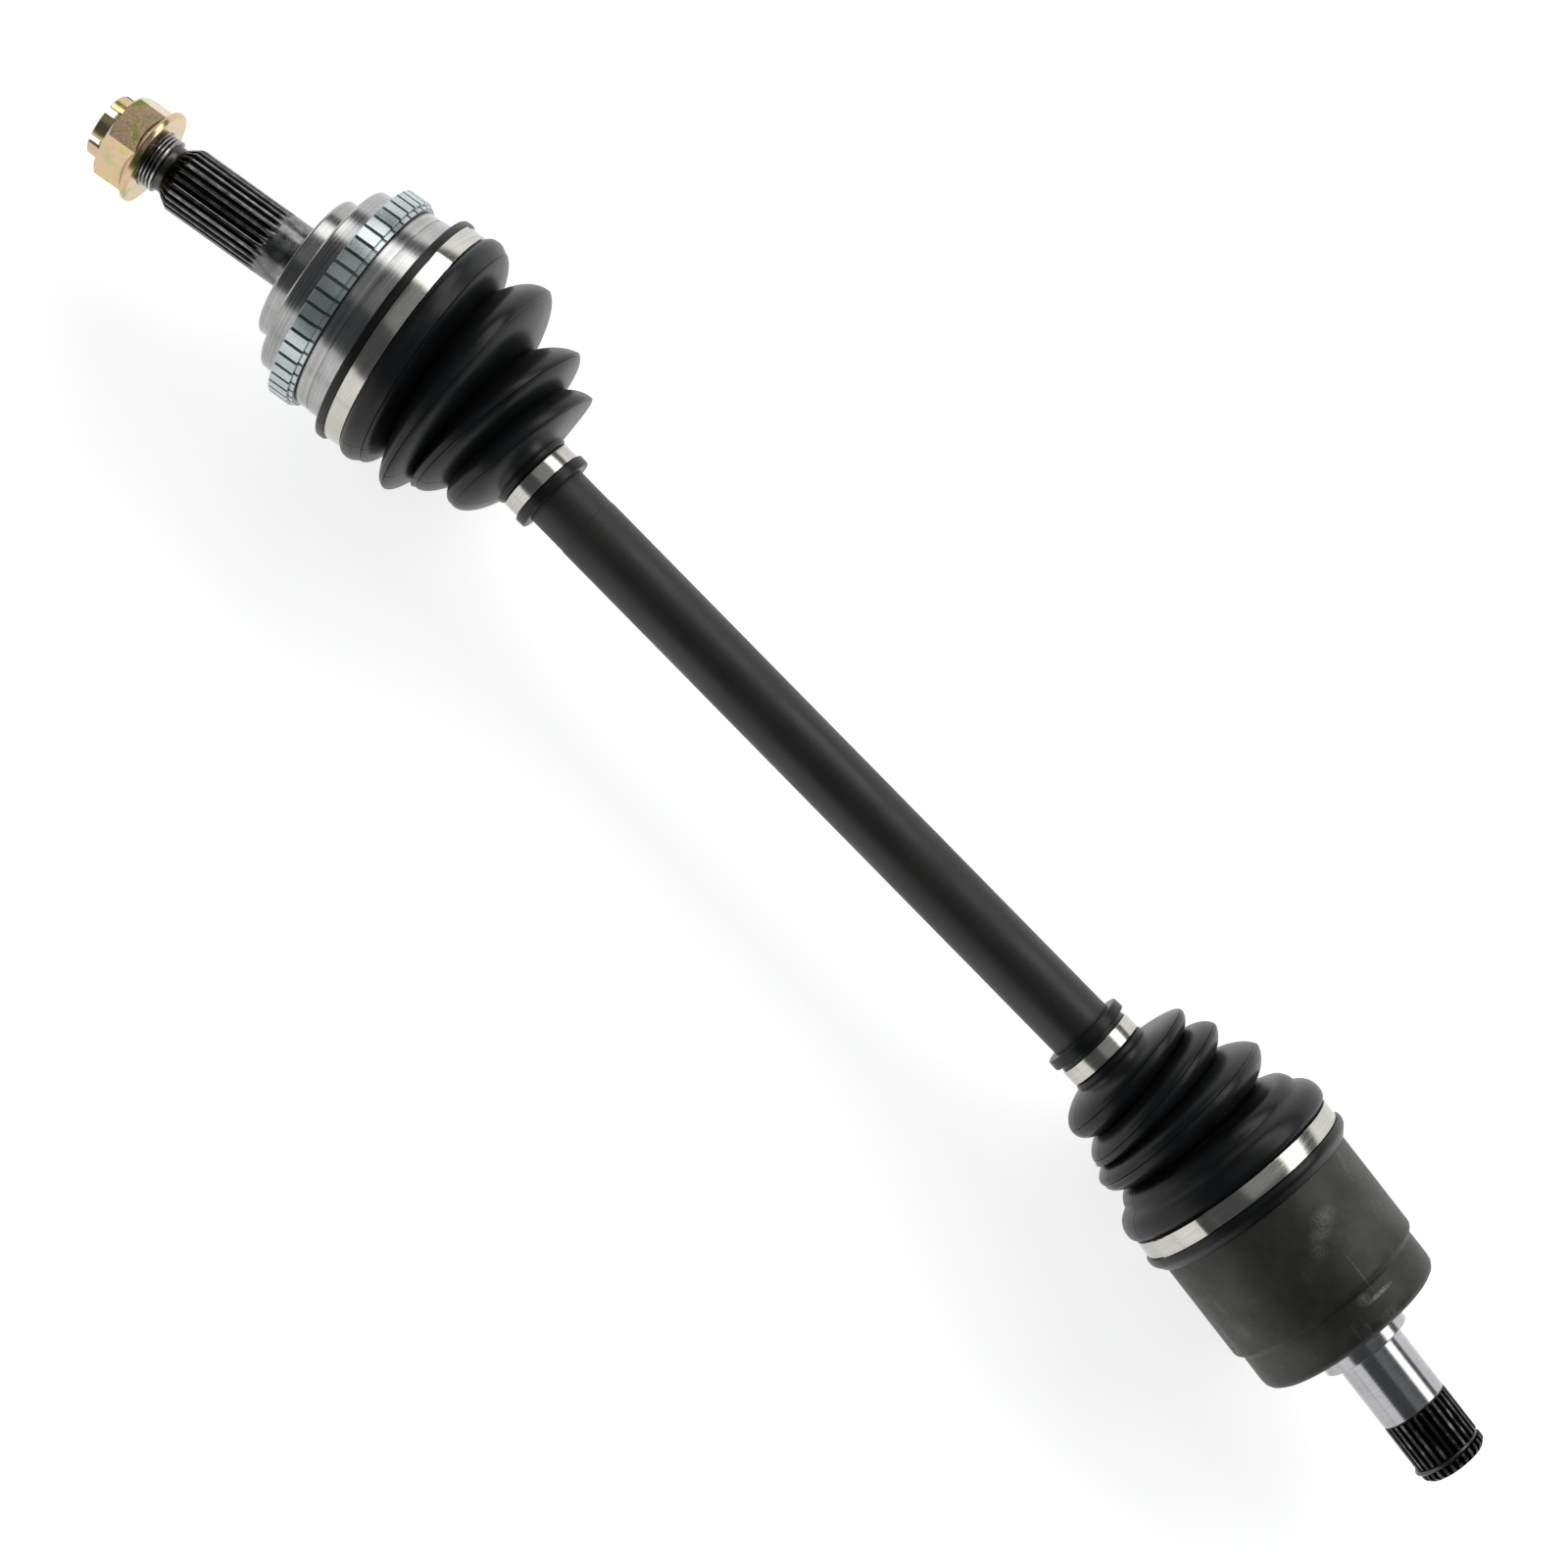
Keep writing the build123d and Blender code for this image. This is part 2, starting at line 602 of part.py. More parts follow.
def make_set_ring():
    """Open round-wire ring that locks the stub in the gearbox; it hangs loose in its groove."""
    wire = Rot(0, 90, 0) * Torus(ring_circle_r, ring_wire_r)
    half = radians(ring_opening / 2) * ring_circle_r
    wire -= Pos(0, 0, -ring_circle_r) * Box(4 * ring_wire_r, 2 * half, ring_circle_r)
    return Pos(set_ring_at, -ring_sag, 0) * wire


# ---------------------------------------------------------------- the pieces, in place
def write(name, shape):
    """One STEP file for one piece."""
    shape.label = name
    export_step(shape, f"parts/{name}.step")


def main():
    os.makedirs("parts", exist_ok=True)
    half_turn = Rot(0, 0, outer_bend / 2)
    cage_frame = shaft_frame * half_turn
    tripod_frame = shaft_frame * Pos(joint_spacing, 0, 0)
    boot_land = bell_seat_r + large_sleeve_wall
    housing_land = housing_r + inner_sleeve_wall
    outer_small_r = seat_r + rubber_gap + small_sleeve_wall
    inner_small_r = bar_r + rubber_gap + small_sleeve_wall

    write("outer_race", wheel_frame * make_outer_race())
    write("tone_ring", wheel_frame * make_tone_ring())
    write("axle_nut", wheel_frame * make_axle_nut())
    write("outer_large_clamp", wheel_frame * clamp_band(
        outer_band_at, large_band_width, boot_land, 20, band_overlap))

    write("ball_cage", cage_frame * make_cage())
    ball = Pos(0, 0, ball_circle_r) * Sphere(ball_r)
    for number, placed in enumerate(around_x(ball, ball_count), 1):
        write(f"ball_{number}", cage_frame * placed)

    write("axle_shaft", shaft_frame * make_axle_shaft())
    write("inner_race", shaft_frame * make_inner_race())
    write("race_clip", shaft_frame * make_shaft_clip(-race_half_width - clip_width))
    write("outer_boot", shaft_frame * make_outer_boot())
    write("outer_small_clamp", shaft_frame * clamp_band(
        outer_small_band_at, small_band_width, outer_small_r, 200, 2 * band_overlap))
    write("inner_small_clamp", shaft_frame * clamp_band(
        joint_spacing - inner_small_band_at, small_band_width, inner_small_r, 200, 2 * band_overlap))
    write("inner_boot", shaft_frame * make_inner_boot())

    write("spider", tripod_frame * make_spider())
    write("spider_clip", shaft_frame * make_shaft_clip(spider_clip_at))
    for number in range(1, roller_count + 1):
        turn = Rot(360 * (number - 1) / roller_count, 0, 0)
        write(f"roller_{number}", tripod_frame * turn * make_roller())
        write(f"needles_{number}", tripod_frame * turn * make_needles())
        write(f"roller_washer_{number}", tripod_frame * turn * make_roller_washer())
        write(f"roller_clip_{number}", tripod_frame * turn * make_roller_clip())

    write("inner_housing", gearbox_frame * make_inner_housing())
    write("inner_large_clamp", gearbox_frame * clamp_band(
        inner_band_at, large_band_width, housing_land, 60, band_overlap))
    write("set_ring", gearbox_frame * make_set_ring())


main()
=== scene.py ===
# %% [markdown]
# # A front drive shaft, dressed around its CAD frame
#
# The CAD model fixes every size, place and joint.  This notebook gives the same pieces their real
# skins: turned and splined steel, a toothed zinc ring, a yellow castle nut, folded rubber boots,
# wrapped steel bands and a painted bar.  Each step first says what the piece is on the real shaft,
# how it could be made in Blender, and why this way was chosen.

# %% Load the frame
import json
import math
import bpy
import numpy as np
from mathutils import Matrix, Vector


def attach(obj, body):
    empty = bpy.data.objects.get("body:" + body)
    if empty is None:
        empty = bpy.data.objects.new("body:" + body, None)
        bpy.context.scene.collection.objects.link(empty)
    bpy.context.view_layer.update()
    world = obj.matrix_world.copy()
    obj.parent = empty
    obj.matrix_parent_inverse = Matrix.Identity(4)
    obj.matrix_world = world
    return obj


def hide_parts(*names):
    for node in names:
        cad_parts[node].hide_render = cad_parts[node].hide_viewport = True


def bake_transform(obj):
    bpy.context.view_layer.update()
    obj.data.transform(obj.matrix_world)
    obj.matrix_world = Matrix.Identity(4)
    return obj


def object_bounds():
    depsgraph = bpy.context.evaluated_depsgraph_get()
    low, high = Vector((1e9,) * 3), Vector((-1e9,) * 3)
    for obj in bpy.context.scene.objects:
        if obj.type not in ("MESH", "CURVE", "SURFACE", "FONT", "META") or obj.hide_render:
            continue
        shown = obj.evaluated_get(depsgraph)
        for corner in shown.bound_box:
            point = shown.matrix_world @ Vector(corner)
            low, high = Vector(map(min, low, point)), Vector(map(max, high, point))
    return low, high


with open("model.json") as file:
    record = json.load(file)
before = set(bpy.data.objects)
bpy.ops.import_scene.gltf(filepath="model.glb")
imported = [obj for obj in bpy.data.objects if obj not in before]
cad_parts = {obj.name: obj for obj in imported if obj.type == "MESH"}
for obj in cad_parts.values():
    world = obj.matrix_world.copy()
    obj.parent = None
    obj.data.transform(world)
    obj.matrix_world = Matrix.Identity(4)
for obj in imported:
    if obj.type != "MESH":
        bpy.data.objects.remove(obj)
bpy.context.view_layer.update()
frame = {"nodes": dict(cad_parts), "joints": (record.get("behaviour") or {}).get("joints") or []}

# %% [markdown]
# ## Three axes
#
# Everything on a drive shaft is round about one of three lines: the hub stub's, the bar's or the
# gearbox stub's.  Each piece could be drawn straight in the world, but its numbers would then mean
# nothing to a reader.  So every piece is drawn in millimetres along its own axis, and one matrix per
# axis, taken from the joints of the CAD model, carries it into place.

# %% The axes, from the joints
MM = 0.001
joint = {j["name"]: j for j in frame["joints"]}
ball_centre = Vector(joint["wheel_side_steer"]["pos_m"])
tripod_centre = Vector(joint["gearbox_side_bend"]["pos_m"])
housing_line = Vector(joint["gearbox_side_plunge"]["axis"])


def axis_frame(origin, along):
    """Matrix whose X runs along the given direction and whose Z is up, from millimetres to metres."""
    x = Vector(along).normalized()
    z = Vector((0, 0, 1))
    y = z.cross(x)
    turn = Matrix((x, y, z)).transposed().to_4x4()
    return Matrix.Translation(origin) @ turn @ Matrix.Scale(MM, 4)


bar_line = (tripod_centre - ball_centre).normalized()
wheel_axis = axis_frame(ball_centre, (1, 0, 0))
bar_axis = axis_frame(ball_centre, bar_line)
gearbox_axis = axis_frame(tripod_centre, housing_line)
joint_spacing = (tripod_centre - ball_centre).length / MM
outer_bend = 180 - math.degrees(math.atan2(bar_line.y, bar_line.x))
inner_bend = 180 - outer_bend - math.degrees(math.atan2(housing_line.y, housing_line.x))
print(f"joints {joint_spacing:.1f} mm apart, bent {outer_bend:.1f} and {inner_bend:.1f} degrees")


# %% What a CAD node measures along its axis
def reach(node, axis):
    """Lowest and highest station and largest radius of a CAD node about an axis, in millimetres."""
    mesh = frame["nodes"][node].data
    points = np.array([v.co for v in mesh.vertices])
    local = np.array(axis.inverted()) @ np.c_[points, np.ones(len(points))].T
    return local[0].min(), local[0].max(), np.hypot(local[1], local[2]).max()


nut_face, nut_end, nut_flange_r = reach("axle_nut", wheel_axis)
tone_start, tone_end, tone_tip_r = reach("tone_ring", wheel_axis)
bell_mouth, stub_end, _ = reach("outer_race", wheel_axis)
housing_mouth, gear_end, housing_r = reach("inner_housing", gearbox_axis)
print(f"nut from {nut_face:.1f} to {nut_end:.1f}, tone ring {tone_start:.1f} to {tone_end:.1f}")

# %% [markdown]
# ## Rings into skins
#
# A turned part can be made with the Screw modifier, with Spin, or with Geometry Nodes' Curve to Mesh.
# Here most pieces also have something that a plain turned skin lacks: splines, a thread, tracks, or
# rings that lean and shift as a bent boot's do.  So one helper builds the grid itself.  It takes a
# list of rings and may move each point in or out by a rule of station and angle.

# %% Helpers for outlines and skins
def rounded(*corners, steps=3):
    """Outline points from corners (station, radius, rounding), each corner eased by a short curve."""
    points = []
    for i, corner in enumerate(corners):
        here = np.array(corner[:2], float)
        ease = corner[2] if len(corner) > 2 else 0
        if ease == 0 or i in (0, len(corners) - 1):
            points.append(here)
            continue
        before = np.array(corners[i - 1][:2], float) - here
        after = np.array(corners[i + 1][:2], float) - here
        length = min(ease, 0.45 * np.hypot(*before), 0.45 * np.hypot(*after))
        a = here + before / np.hypot(*before) * length
        b = here + after / np.hypot(*after) * length
        for s in np.linspace(0, 1, steps + 1):
            points.append((1 - s) ** 2 * a + 2 * s * (1 - s) * here + s * s * b)
    return np.array(points)


def stations(start, end, step):
    """Evenly spaced stations from start to end, no further apart than step."""
    return np.linspace(start, end, int(math.ceil(abs(end - start) / step)) + 1)


def placed(name, data):
    """A new object in the scene, at the origin."""
    obj = bpy.data.objects.new(name, data)
    bpy.context.scene.collection.objects.link(obj)
    return obj


def skin(name, rings, axis, turns, closed=False, rule=None, angles=None):
    """A mesh through rings (station, sideways offset, radius, lean in degrees); rule moves radii."""
    rings = np.array([tuple(r) if len(r) == 4 else (r[0], 0.0, r[1], 0.0) for r in rings], float)
    whole = angles is None
    angle = np.arange(turns) * 2 * math.pi / turns if whole else np.array(angles, float)
    x, y, r, lean = (rings[:, i, None] for i in range(4))
    radius = np.broadcast_to(r, (len(rings), len(angle))).copy()
    if rule is not None:
        radius = rule(x, radius, angle[None, :])
    lean = np.radians(lean)
    side = radius * np.cos(angle)
    points = np.stack([x - side * np.sin(lean), y + side * np.cos(lean), radius * np.sin(angle)], -1)
    n, m = radius.shape
    rows = [(i, (i + 1) % n) for i in range(n if closed else n - 1)]
    columns = [(j, (j + 1) % m) for j in range(m if whole else m - 1)]
    faces = [(i * m + j, i * m + k, h * m + k, h * m + j) for i, h in rows for j, k in columns]
    mesh = bpy.data.meshes.new(name)
    mesh.from_pydata(points.reshape(-1, 3).tolist(), [], faces)
    mesh.transform(axis)
    return placed(name, mesh)


def weld_and_smooth(obj, sharp=32):
    """Merges poles and seams, and smooths all but the real edges."""
    import bmesh
    work = bmesh.new()
    work.from_mesh(obj.data)
    bmesh.ops.remove_doubles(work, verts=work.verts, dist=1e-6)
    bmesh.ops.dissolve_degenerate(work, edges=work.edges, dist=1e-7)
    work.to_mesh(obj.data)
    work.free()
    obj.data.shade_smooth()
    obj.data.set_sharp_from_angle(angle=math.radians(sharp))
    return obj


def describe(obj):
    """Prints what a piece came to."""
    triangles = sum(len(p.vertices) - 2 for p in obj.data.polygons)
    print(f"{obj.name}: {triangles} triangles, {len(obj.data.materials)} finishes")


# %% [markdown]
# ## Finishes
#
# Each finish is a small node tree on the Principled shader.  Image textures could hold the turning
# lines and the stains, but they would need unwrapping and would stretch.  The steels here are
# patterned in the coordinates of their own axis instead: a Mapping node turns Object coordinates to
# the axis, and then the station and the distance from the axis drive rings that are true all round.

# %% Helpers for node trees
def rgba(colour):
    """A colour with its alpha; a single number is a grey."""
    return (*(colour if isinstance(colour, tuple) else (colour,) * 3), 1)


def finish_tree(name, colour, metallic, roughness):
    """A material with its shader's plain values set, and a short way to add and link nodes."""
    material = bpy.data.materials.new(name)
    material.use_nodes = True
    shader = material.node_tree.nodes["Principled BSDF"]
    shader.inputs["Base Color"].default_value = rgba(colour)
    shader.inputs["Metallic"].default_value = metallic
    shader.inputs["Roughness"].default_value = roughness
    return material, material.node_tree, shader


def add(tree, kind, inputs=None, **settings):
    """A node with its settings, its input values and its links in one call."""
    node = tree.nodes.new(kind)
    for key, value in settings.items():
        setattr(node, key, value)
    for key, value in (inputs or {}).items():
        if isinstance(value, bpy.types.NodeSocket):
            tree.links.new(value, node.inputs[key])
        else:
            node.inputs[key].default_value = value
    return node


def reckon(tree, operation, *values):
    """The value of one Math node over numbers or sockets."""
    return add(tree, "ShaderNodeMath", dict(enumerate(values)), operation=operation).outputs["Value"]


def reckon_vector(tree, operation, *values):
    """The vector of one Vector Math node, or its value where it measures a length."""
    node = add(tree, "ShaderNodeVectorMath", dict(enumerate(values)), operation=operation)
    return node.outputs["Value" if operation == "LENGTH" else "Vector"]


def along_axis(tree, axis):
    """Object coordinates on a piece's axis: the vector, the station and the distance from the axis."""
    coordinates = add(tree, "ShaderNodeTexCoord")
    unit = axis.to_3x3() * (1 / MM)
    back = unit.transposed()
    shift = -(back @ axis.translation)
    mapped = add(tree, "ShaderNodeMapping", {"Vector": coordinates.outputs["Object"],
                                             "Location": shift, "Rotation": back.to_euler()})
    apart = add(tree, "ShaderNodeSeparateXYZ", {"Vector": mapped.outputs["Vector"]})
    flat = reckon_vector(tree, "MULTIPLY", mapped.outputs["Vector"], (0, 1, 1))
    return mapped.outputs["Vector"], apart.outputs["X"], reckon_vector(tree, "LENGTH", flat)


def noise(tree, vector, scale, detail=2.0, roughness=0.5):
    """Noise value between 0 and 1."""
    node = add(tree, "ShaderNodeTexNoise", {"Vector": vector, "Scale": scale, "Detail": detail,
                                            "Roughness": roughness})
    return node.outputs["Fac"]


def ramp(tree, value, *stops):
    """Colour ramp from (place, colour) stops."""
    node = add(tree, "ShaderNodeValToRGB", {"Fac": value})
    elements = node.color_ramp.elements
    while len(elements) < len(stops):
        elements.new(0.5)
    for element, (place, colour) in zip(elements, stops):
        element.position = place
        element.color = rgba(colour)
    return node.outputs["Color"]


def spread(tree, value, low, high, to_low, to_high):
    """A value's range carried to another range."""
    node = add(tree, "ShaderNodeMapRange", {"Value": value, "From Min": low, "From Max": high,
                                            "To Min": to_low, "To Max": to_high})
    return node.outputs["Result"]


def bump(tree, shader, height, distance, strength=1.0, below=None):
    """Bump of a height in metres into the shader."""
    inputs = {"Height": height, "Distance": distance, "Strength": strength}
    if below is not None:
        inputs["Normal"] = below
    node = add(tree, "ShaderNodeBump", inputs)
    tree.links.new(node.outputs["Normal"], shader.inputs["Normal"])
    return node.outputs["Normal"]


# %% [markdown]
# ### Steels
#
# Turned steel shows fine rings left by the tool, and ground steel is nearly a mirror.  An image of
# brushed metal would run one way only, so the rings come from the station and the radius, the stains
# from a soft noise, and both give a little bump.  The teeth are dark oily steel, worn bright on their
# lands and painted darker towards their roots as shade, so their colour follows the distance from the
# axis.

# %% Steel finishes
tool_rings = 1400.0     # scale of the rings' noise
stain_patches = 60.0    # and of the stains'


def steel(name, axis, dark, light, roughness, line_depth):
    """Steel with tool rings about its axis, soft stains and a varying gloss."""
    material, tree, shader = finish_tree(name, light, 1.0, roughness)
    vector, station, distance = along_axis(tree, axis)
    rings_at = add(tree, "ShaderNodeCombineXYZ", {"X": station, "Y": distance}).outputs["Vector"]
    rings = noise(tree, rings_at, tool_rings, 3.0)
    stains = noise(tree, vector, stain_patches, 4.0, 0.6)
    half = reckon(tree, "MULTIPLY", reckon(tree, "ADD", rings, stains), 0.5)
    tree.links.new(ramp(tree, half, (0.36, dark), (0.62, light)), shader.inputs["Base Color"])
    tree.links.new(spread(tree, rings, 0.3, 0.7, roughness * 0.85, roughness * 1.15),
                   shader.inputs["Roughness"])
    bump(tree, shader, rings, line_depth)
    return material


def oily_teeth_with_root_shade(name, axis, root_r, tip_r, root_shade_colour, tip_colour, roughness):
    """Dark oily steel with stains, painted darker towards the roots of its teeth as shade, and worn
    bright at their tips.
    """
    material, tree, shader = finish_tree(name, tip_colour, 1.0, roughness)
    vector, station, distance = along_axis(tree, axis)
    # painted shade: the colour darkens from the tips of the teeth down to their roots
    height = spread(tree, distance, root_r * MM, tip_r * MM, 0.0, 1.0)
    stains = noise(tree, vector, 260.0, 5.0, 0.65)
    mixed = reckon(tree, "MULTIPLY", height, stains)
    tree.links.new(ramp(tree, mixed, (0.14, root_shade_colour), (0.5, tip_colour), (0.8, 0.36)),
                   shader.inputs["Base Color"])
    tree.links.new(spread(tree, stains, 0.3, 0.7, roughness * 0.7, roughness * 1.5),
                   shader.inputs["Roughness"])
    bump(tree, shader, stains, 4.0e-5)
    return material


turned_steel = steel("turned_steel", wheel_axis, (0.25, 0.247, 0.243), (0.44, 0.435, 0.43), 0.22, 8e-6)
ground_steel = steel("ground_steel", gearbox_axis, (0.34, 0.34, 0.35), (0.45, 0.45, 0.46), 0.18, 2e-6)
# the first colour given to each set of teeth is the painted shade at their roots
hub_spline_steel = oily_teeth_with_root_shade("hub_spline_steel", wheel_axis, 11.65, 13.0, 0.008, 0.15, 0.22)
thread_steel = oily_teeth_with_root_shade("thread_steel", wheel_axis, 10.1, 11.0, 0.07, 0.52, 0.26)
gear_spline_steel = oily_teeth_with_root_shade("gear_spline_steel", gearbox_axis, 12.1, 13.5, 0.005, 0.045, 0.36)
hardened_steel = steel("hardened_steel", bar_axis, (0.42, 0.42, 0.43), (0.55, 0.55, 0.56), 0.22, 8e-6)
spring_steel = steel("spring_steel", gearbox_axis, (0.05, 0.05, 0.052), (0.12, 0.12, 0.125), 0.32, 6e-6)
print("steels:", len(bpy.data.materials))

# %% [markdown]
# ### Forged and phosphated housing
#
# The tripod housing is forged, then coated dark grey.  Handling leaves pale scuffs and a straight
# scratch along it.  Painting them as an image would be exact but would need unwrapping, so a stretched
# noise makes the faint scuffs, and soft-edged spots of chosen place and size make the plain marks.

# %% Phosphate finish
def worn_patch(tree, vector, middle, half_size, amount, grain):
    """A soft-edged worn spot: 0 outside, up to the amount in its middle, broken up by the grain."""
    shifted = reckon_vector(tree, "ADD", vector, [-v * MM for v in middle])
    scaled = reckon_vector(tree, "MULTIPLY", shifted, [1 / (v * MM) for v in half_size])
    near = spread(tree, reckon_vector(tree, "LENGTH", scaled), 0.2, 1.0, amount, 0.0)
    broken = spread(tree, grain, 0.38, 0.58, 0.15, 1.0)
    return reckon(tree, "MULTIPLY", near, broken)


def phosphate(name, axis, marks):
    """Dark grey phosphate with soft scuffs and the given worn marks."""
    material, tree, shader = finish_tree(name, (0.05, 0.05, 0.045), 0.45, 0.46)
    vector, station, distance = along_axis(tree, axis)
    grain = noise(tree, vector, 900.0, 4.0, 0.7)
    mottle = noise(tree, vector, 45.0, 5.0, 0.6)
    base = ramp(tree, mottle, (0.3, (0.020, 0.0205, 0.018)), (0.7, (0.062, 0.062, 0.053)))
    stretched = reckon_vector(tree, "MULTIPLY", vector, (0.35, 1, 1))
    scuffs = noise(tree, stretched, 70.0, 8.0, 0.72)
    mask = ramp(tree, scuffs, (0.60, 0.0), (0.78, 0.45))
    for middle, half_size, amount in marks:
        patch = worn_patch(tree, vector, middle, half_size, amount, grain)
        mask = reckon(tree, "MAXIMUM", mask, patch)
    mix = add(tree, "ShaderNodeMix", {"Factor": mask, "A": base, "B": rgba((0.30, 0.29, 0.26))},
              data_type="RGBA")
    tree.links.new(mix.outputs["Result"], shader.inputs["Base Color"])
    tree.links.new(spread(tree, grain, 0.3, 0.7, 0.42, 0.58), shader.inputs["Roughness"])
    bump(tree, shader, grain, 3.0e-5)
    return material


handling_marks = (  # middle and half size in millimetres on the housing's axis, and how pale
    ((3.0, 14.5, 37.6), (4.5, 7.0, 8.0), 0.34),      # broad scuff near the band
    ((6.5, 10.0, 39.0), (4.0, 6.0, 8.0), 0.34),
    ((11.0, 6.0, 40.0), (5.0, 4.0, 6.0), 0.24),
    ((27.5, 12.8, 38.2), (13.0, 0.35, 5.0), 0.55),   # straight scratch along the body
    ((37.0, 14.0, 35.6), (1.1, 8.0, 6.0), 0.95),     # rubbed edge behind the step
    ((35.0, 8.0, 37.6), (3.0, 3.0, 5.0), 0.45),
    ((46.0, 12.0, 35.5), (4.0, 7.0, 8.0), 0.30),
    ((20.0, -33.0, 23.0), (6.0, 4.0, 6.0), 0.20),
)
housing_phosphate = phosphate("housing_phosphate", gearbox_axis, handling_marks)

# %% [markdown]
# ### Zinc, chromate, bands, paint and rubber
#
# Bright zinc is faintly blue-green and slightly uneven.  Yellow chromate drifts between gold, pink
# and olive, which a low-frequency noise through a colour ramp gives.  The bands are bright rolled
# stainless steel.  The bar has a satin black paint with a fine orange peel, and moulded rubber is
# darker and softer, with a fine grain and a faint bloom that changes its gloss.

# %% Plated, painted and moulded finishes
def plated(name, axis, stops, roughness, drift, grain_depth, painted_shade_r=0.0, metallic=1.0):
    """Zinc whose colour drifts; below the given radius, in millimetres, it is painted dark as shade in
    the slots.
    """
    material, tree, shader = finish_tree(name, stops[0][1], metallic, roughness)
    vector, station, distance = along_axis(tree, axis)
    colour = noise(tree, vector, drift, 3.0, 0.55)
    grain = noise(tree, vector, 1500.0, 3.0, 0.6)
    # painted shade: below this radius the slot floors are painted dark, standing in for their shade
    painted_slot_shade = spread(tree, distance, (painted_shade_r - 0.3) * MM, painted_shade_r * MM, 0.75, 0.0)
    skin_colour = add(tree, "ShaderNodeMix", {"Factor": painted_slot_shade, "A": ramp(tree, colour, *stops),
                                              "B": rgba(0.05)}, data_type="RGBA")
    tree.links.new(skin_colour.outputs["Result"], shader.inputs["Base Color"])
    tree.links.new(spread(tree, grain, 0.3, 0.7, roughness * 0.8, roughness * 1.25),
                   shader.inputs["Roughness"])
    bump(tree, shader, grain, grain_depth)
    return material


def coated(name, axis, dark, light, roughness, grain, depth, drift, shine=0.5, seam_slope=None):
    """Paint or rubber; a seam is the mould's line along both sides, at the slope z over -y."""
    material, tree, shader = finish_tree(name, dark, 0.0, roughness)
    shader.inputs["Specular IOR Level"].default_value = shine
    vector, station, distance = along_axis(tree, axis)
    fine = noise(tree, vector, grain, 3.0, 0.6)
    broad = noise(tree, vector, drift, 4.0, 0.6)
    tree.links.new(ramp(tree, broad, (0.3, dark), (0.75, light)), shader.inputs["Base Color"])
    tree.links.new(spread(tree, broad, 0.3, 0.7, roughness * 0.85, roughness * 1.2),
                   shader.inputs["Roughness"])
    lower = bump(tree, shader, fine, depth)
    if seam_slope is not None:
        parts = add(tree, "ShaderNodeSeparateXYZ", {"Vector": vector}).outputs
        off = reckon(tree, "ABSOLUTE", reckon(tree, "MULTIPLY_ADD", parts["Y"], seam_slope, parts["Z"]))
        bump(tree, shader, spread(tree, off, 0.0002, 0.0006, 0.0, 1.0), 2.5e-4, 1.0, lower)
    return material


# painted shade: below this radius the tone ring's slot floors are painted dark
slot_shadow_r = 43.95    # below this, the tone ring is the floor of a slot
bright_zinc = plated("bright_zinc", wheel_axis, [(0.3, (0.40, 0.46, 0.46)), (0.7, (0.56, 0.61, 0.61))],
                     0.25, 90.0, 4.0e-6, painted_shade_r=slot_shadow_r, metallic=0.72)
yellow_chromate = plated("yellow_chromate", wheel_axis, [
    (0.30, (0.30, 0.36, 0.13)), (0.42, (0.55, 0.47, 0.19)), (0.54, (0.62, 0.42, 0.29)),
    (0.70, (0.42, 0.44, 0.22))], 0.22, 120.0, 2.4e-5)
band_steel = steel("band_steel", bar_axis, (0.44, 0.43, 0.39), (0.55, 0.535, 0.49), 0.19, 2e-6)
bar_paint = coated("bar_paint", bar_axis, (0.009, 0.009, 0.0078), (0.015, 0.015, 0.0125),
                   0.5, 700.0, 4e-5, 30.0)
boot_rubber = coated("boot_rubber", bar_axis, (0.004, 0.0044, 0.005), (0.008, 0.009, 0.010),
                     0.34, 1100.0, 1.0e-5, 50.0, shine=0.28, seam_slope=0.47)
print("finishes:", ", ".join(m.name for m in bpy.data.materials))

# %% [markdown]
# ## The bell and its hub stub
#
# One forging: the bell that holds the balls, two bosses, and the stub with splines and a thread.  A
# Screw modifier could turn the outline and booleans could cut the rest, but 26 splines, a 15-turn
# thread and six ball tracks make heavy booleans with ragged edges.  Instead the outline is turned as
# one grid, and a rule moves its points: a tooth profile by angle on the splines, a wave by angle and
# station together on the thread, and the edge of a ball's path inside the bell.

# %% Sizes of the wheel side forging
bell_seat_r = 41.94
bell_r = 42.74
seat_end_at = -0.4
bell_groove_at = 6.6
tone_seat_r = 41.24
stop_boss_r = 38.74
boss_step_at = 30.5
hub_boss_r = 29.2
shoulder_at = 38.6
stub_r = 13.0
spline_start = 50.7
spline_end = 93.2
spline_root_r = 11.65
relief_start = 96.8
relief_r = 9.4
thread_start = 101.5
thread_r = 11.0
thread_pitch = 1.5
thread_depth = 0.85
cavity_r = 30.74
track_r = 9.34
ball_circle_r = 27.5
track_end = 21.0
hub_teeth = 26
track_count = 6


# %% Rules for teeth, thread and tracks
def smooth(value, low, high):
    """0 below low, 1 above high, eased between."""
    t = np.clip((value - low) / (high - low), 0, 1)
    return t * t * (3 - 2 * t)


def tooth_depth(angle, teeth, tip_share=0.38, root_share=0.28):
    """0 on a tooth's land, 1 in its root, straight flanks between."""
    place = np.abs((angle * teeth / (2 * math.pi) + 0.5) % 1 - 0.5)
    return np.clip((place - tip_share / 2) / (0.5 - (tip_share + root_share) / 2), 0, 1)


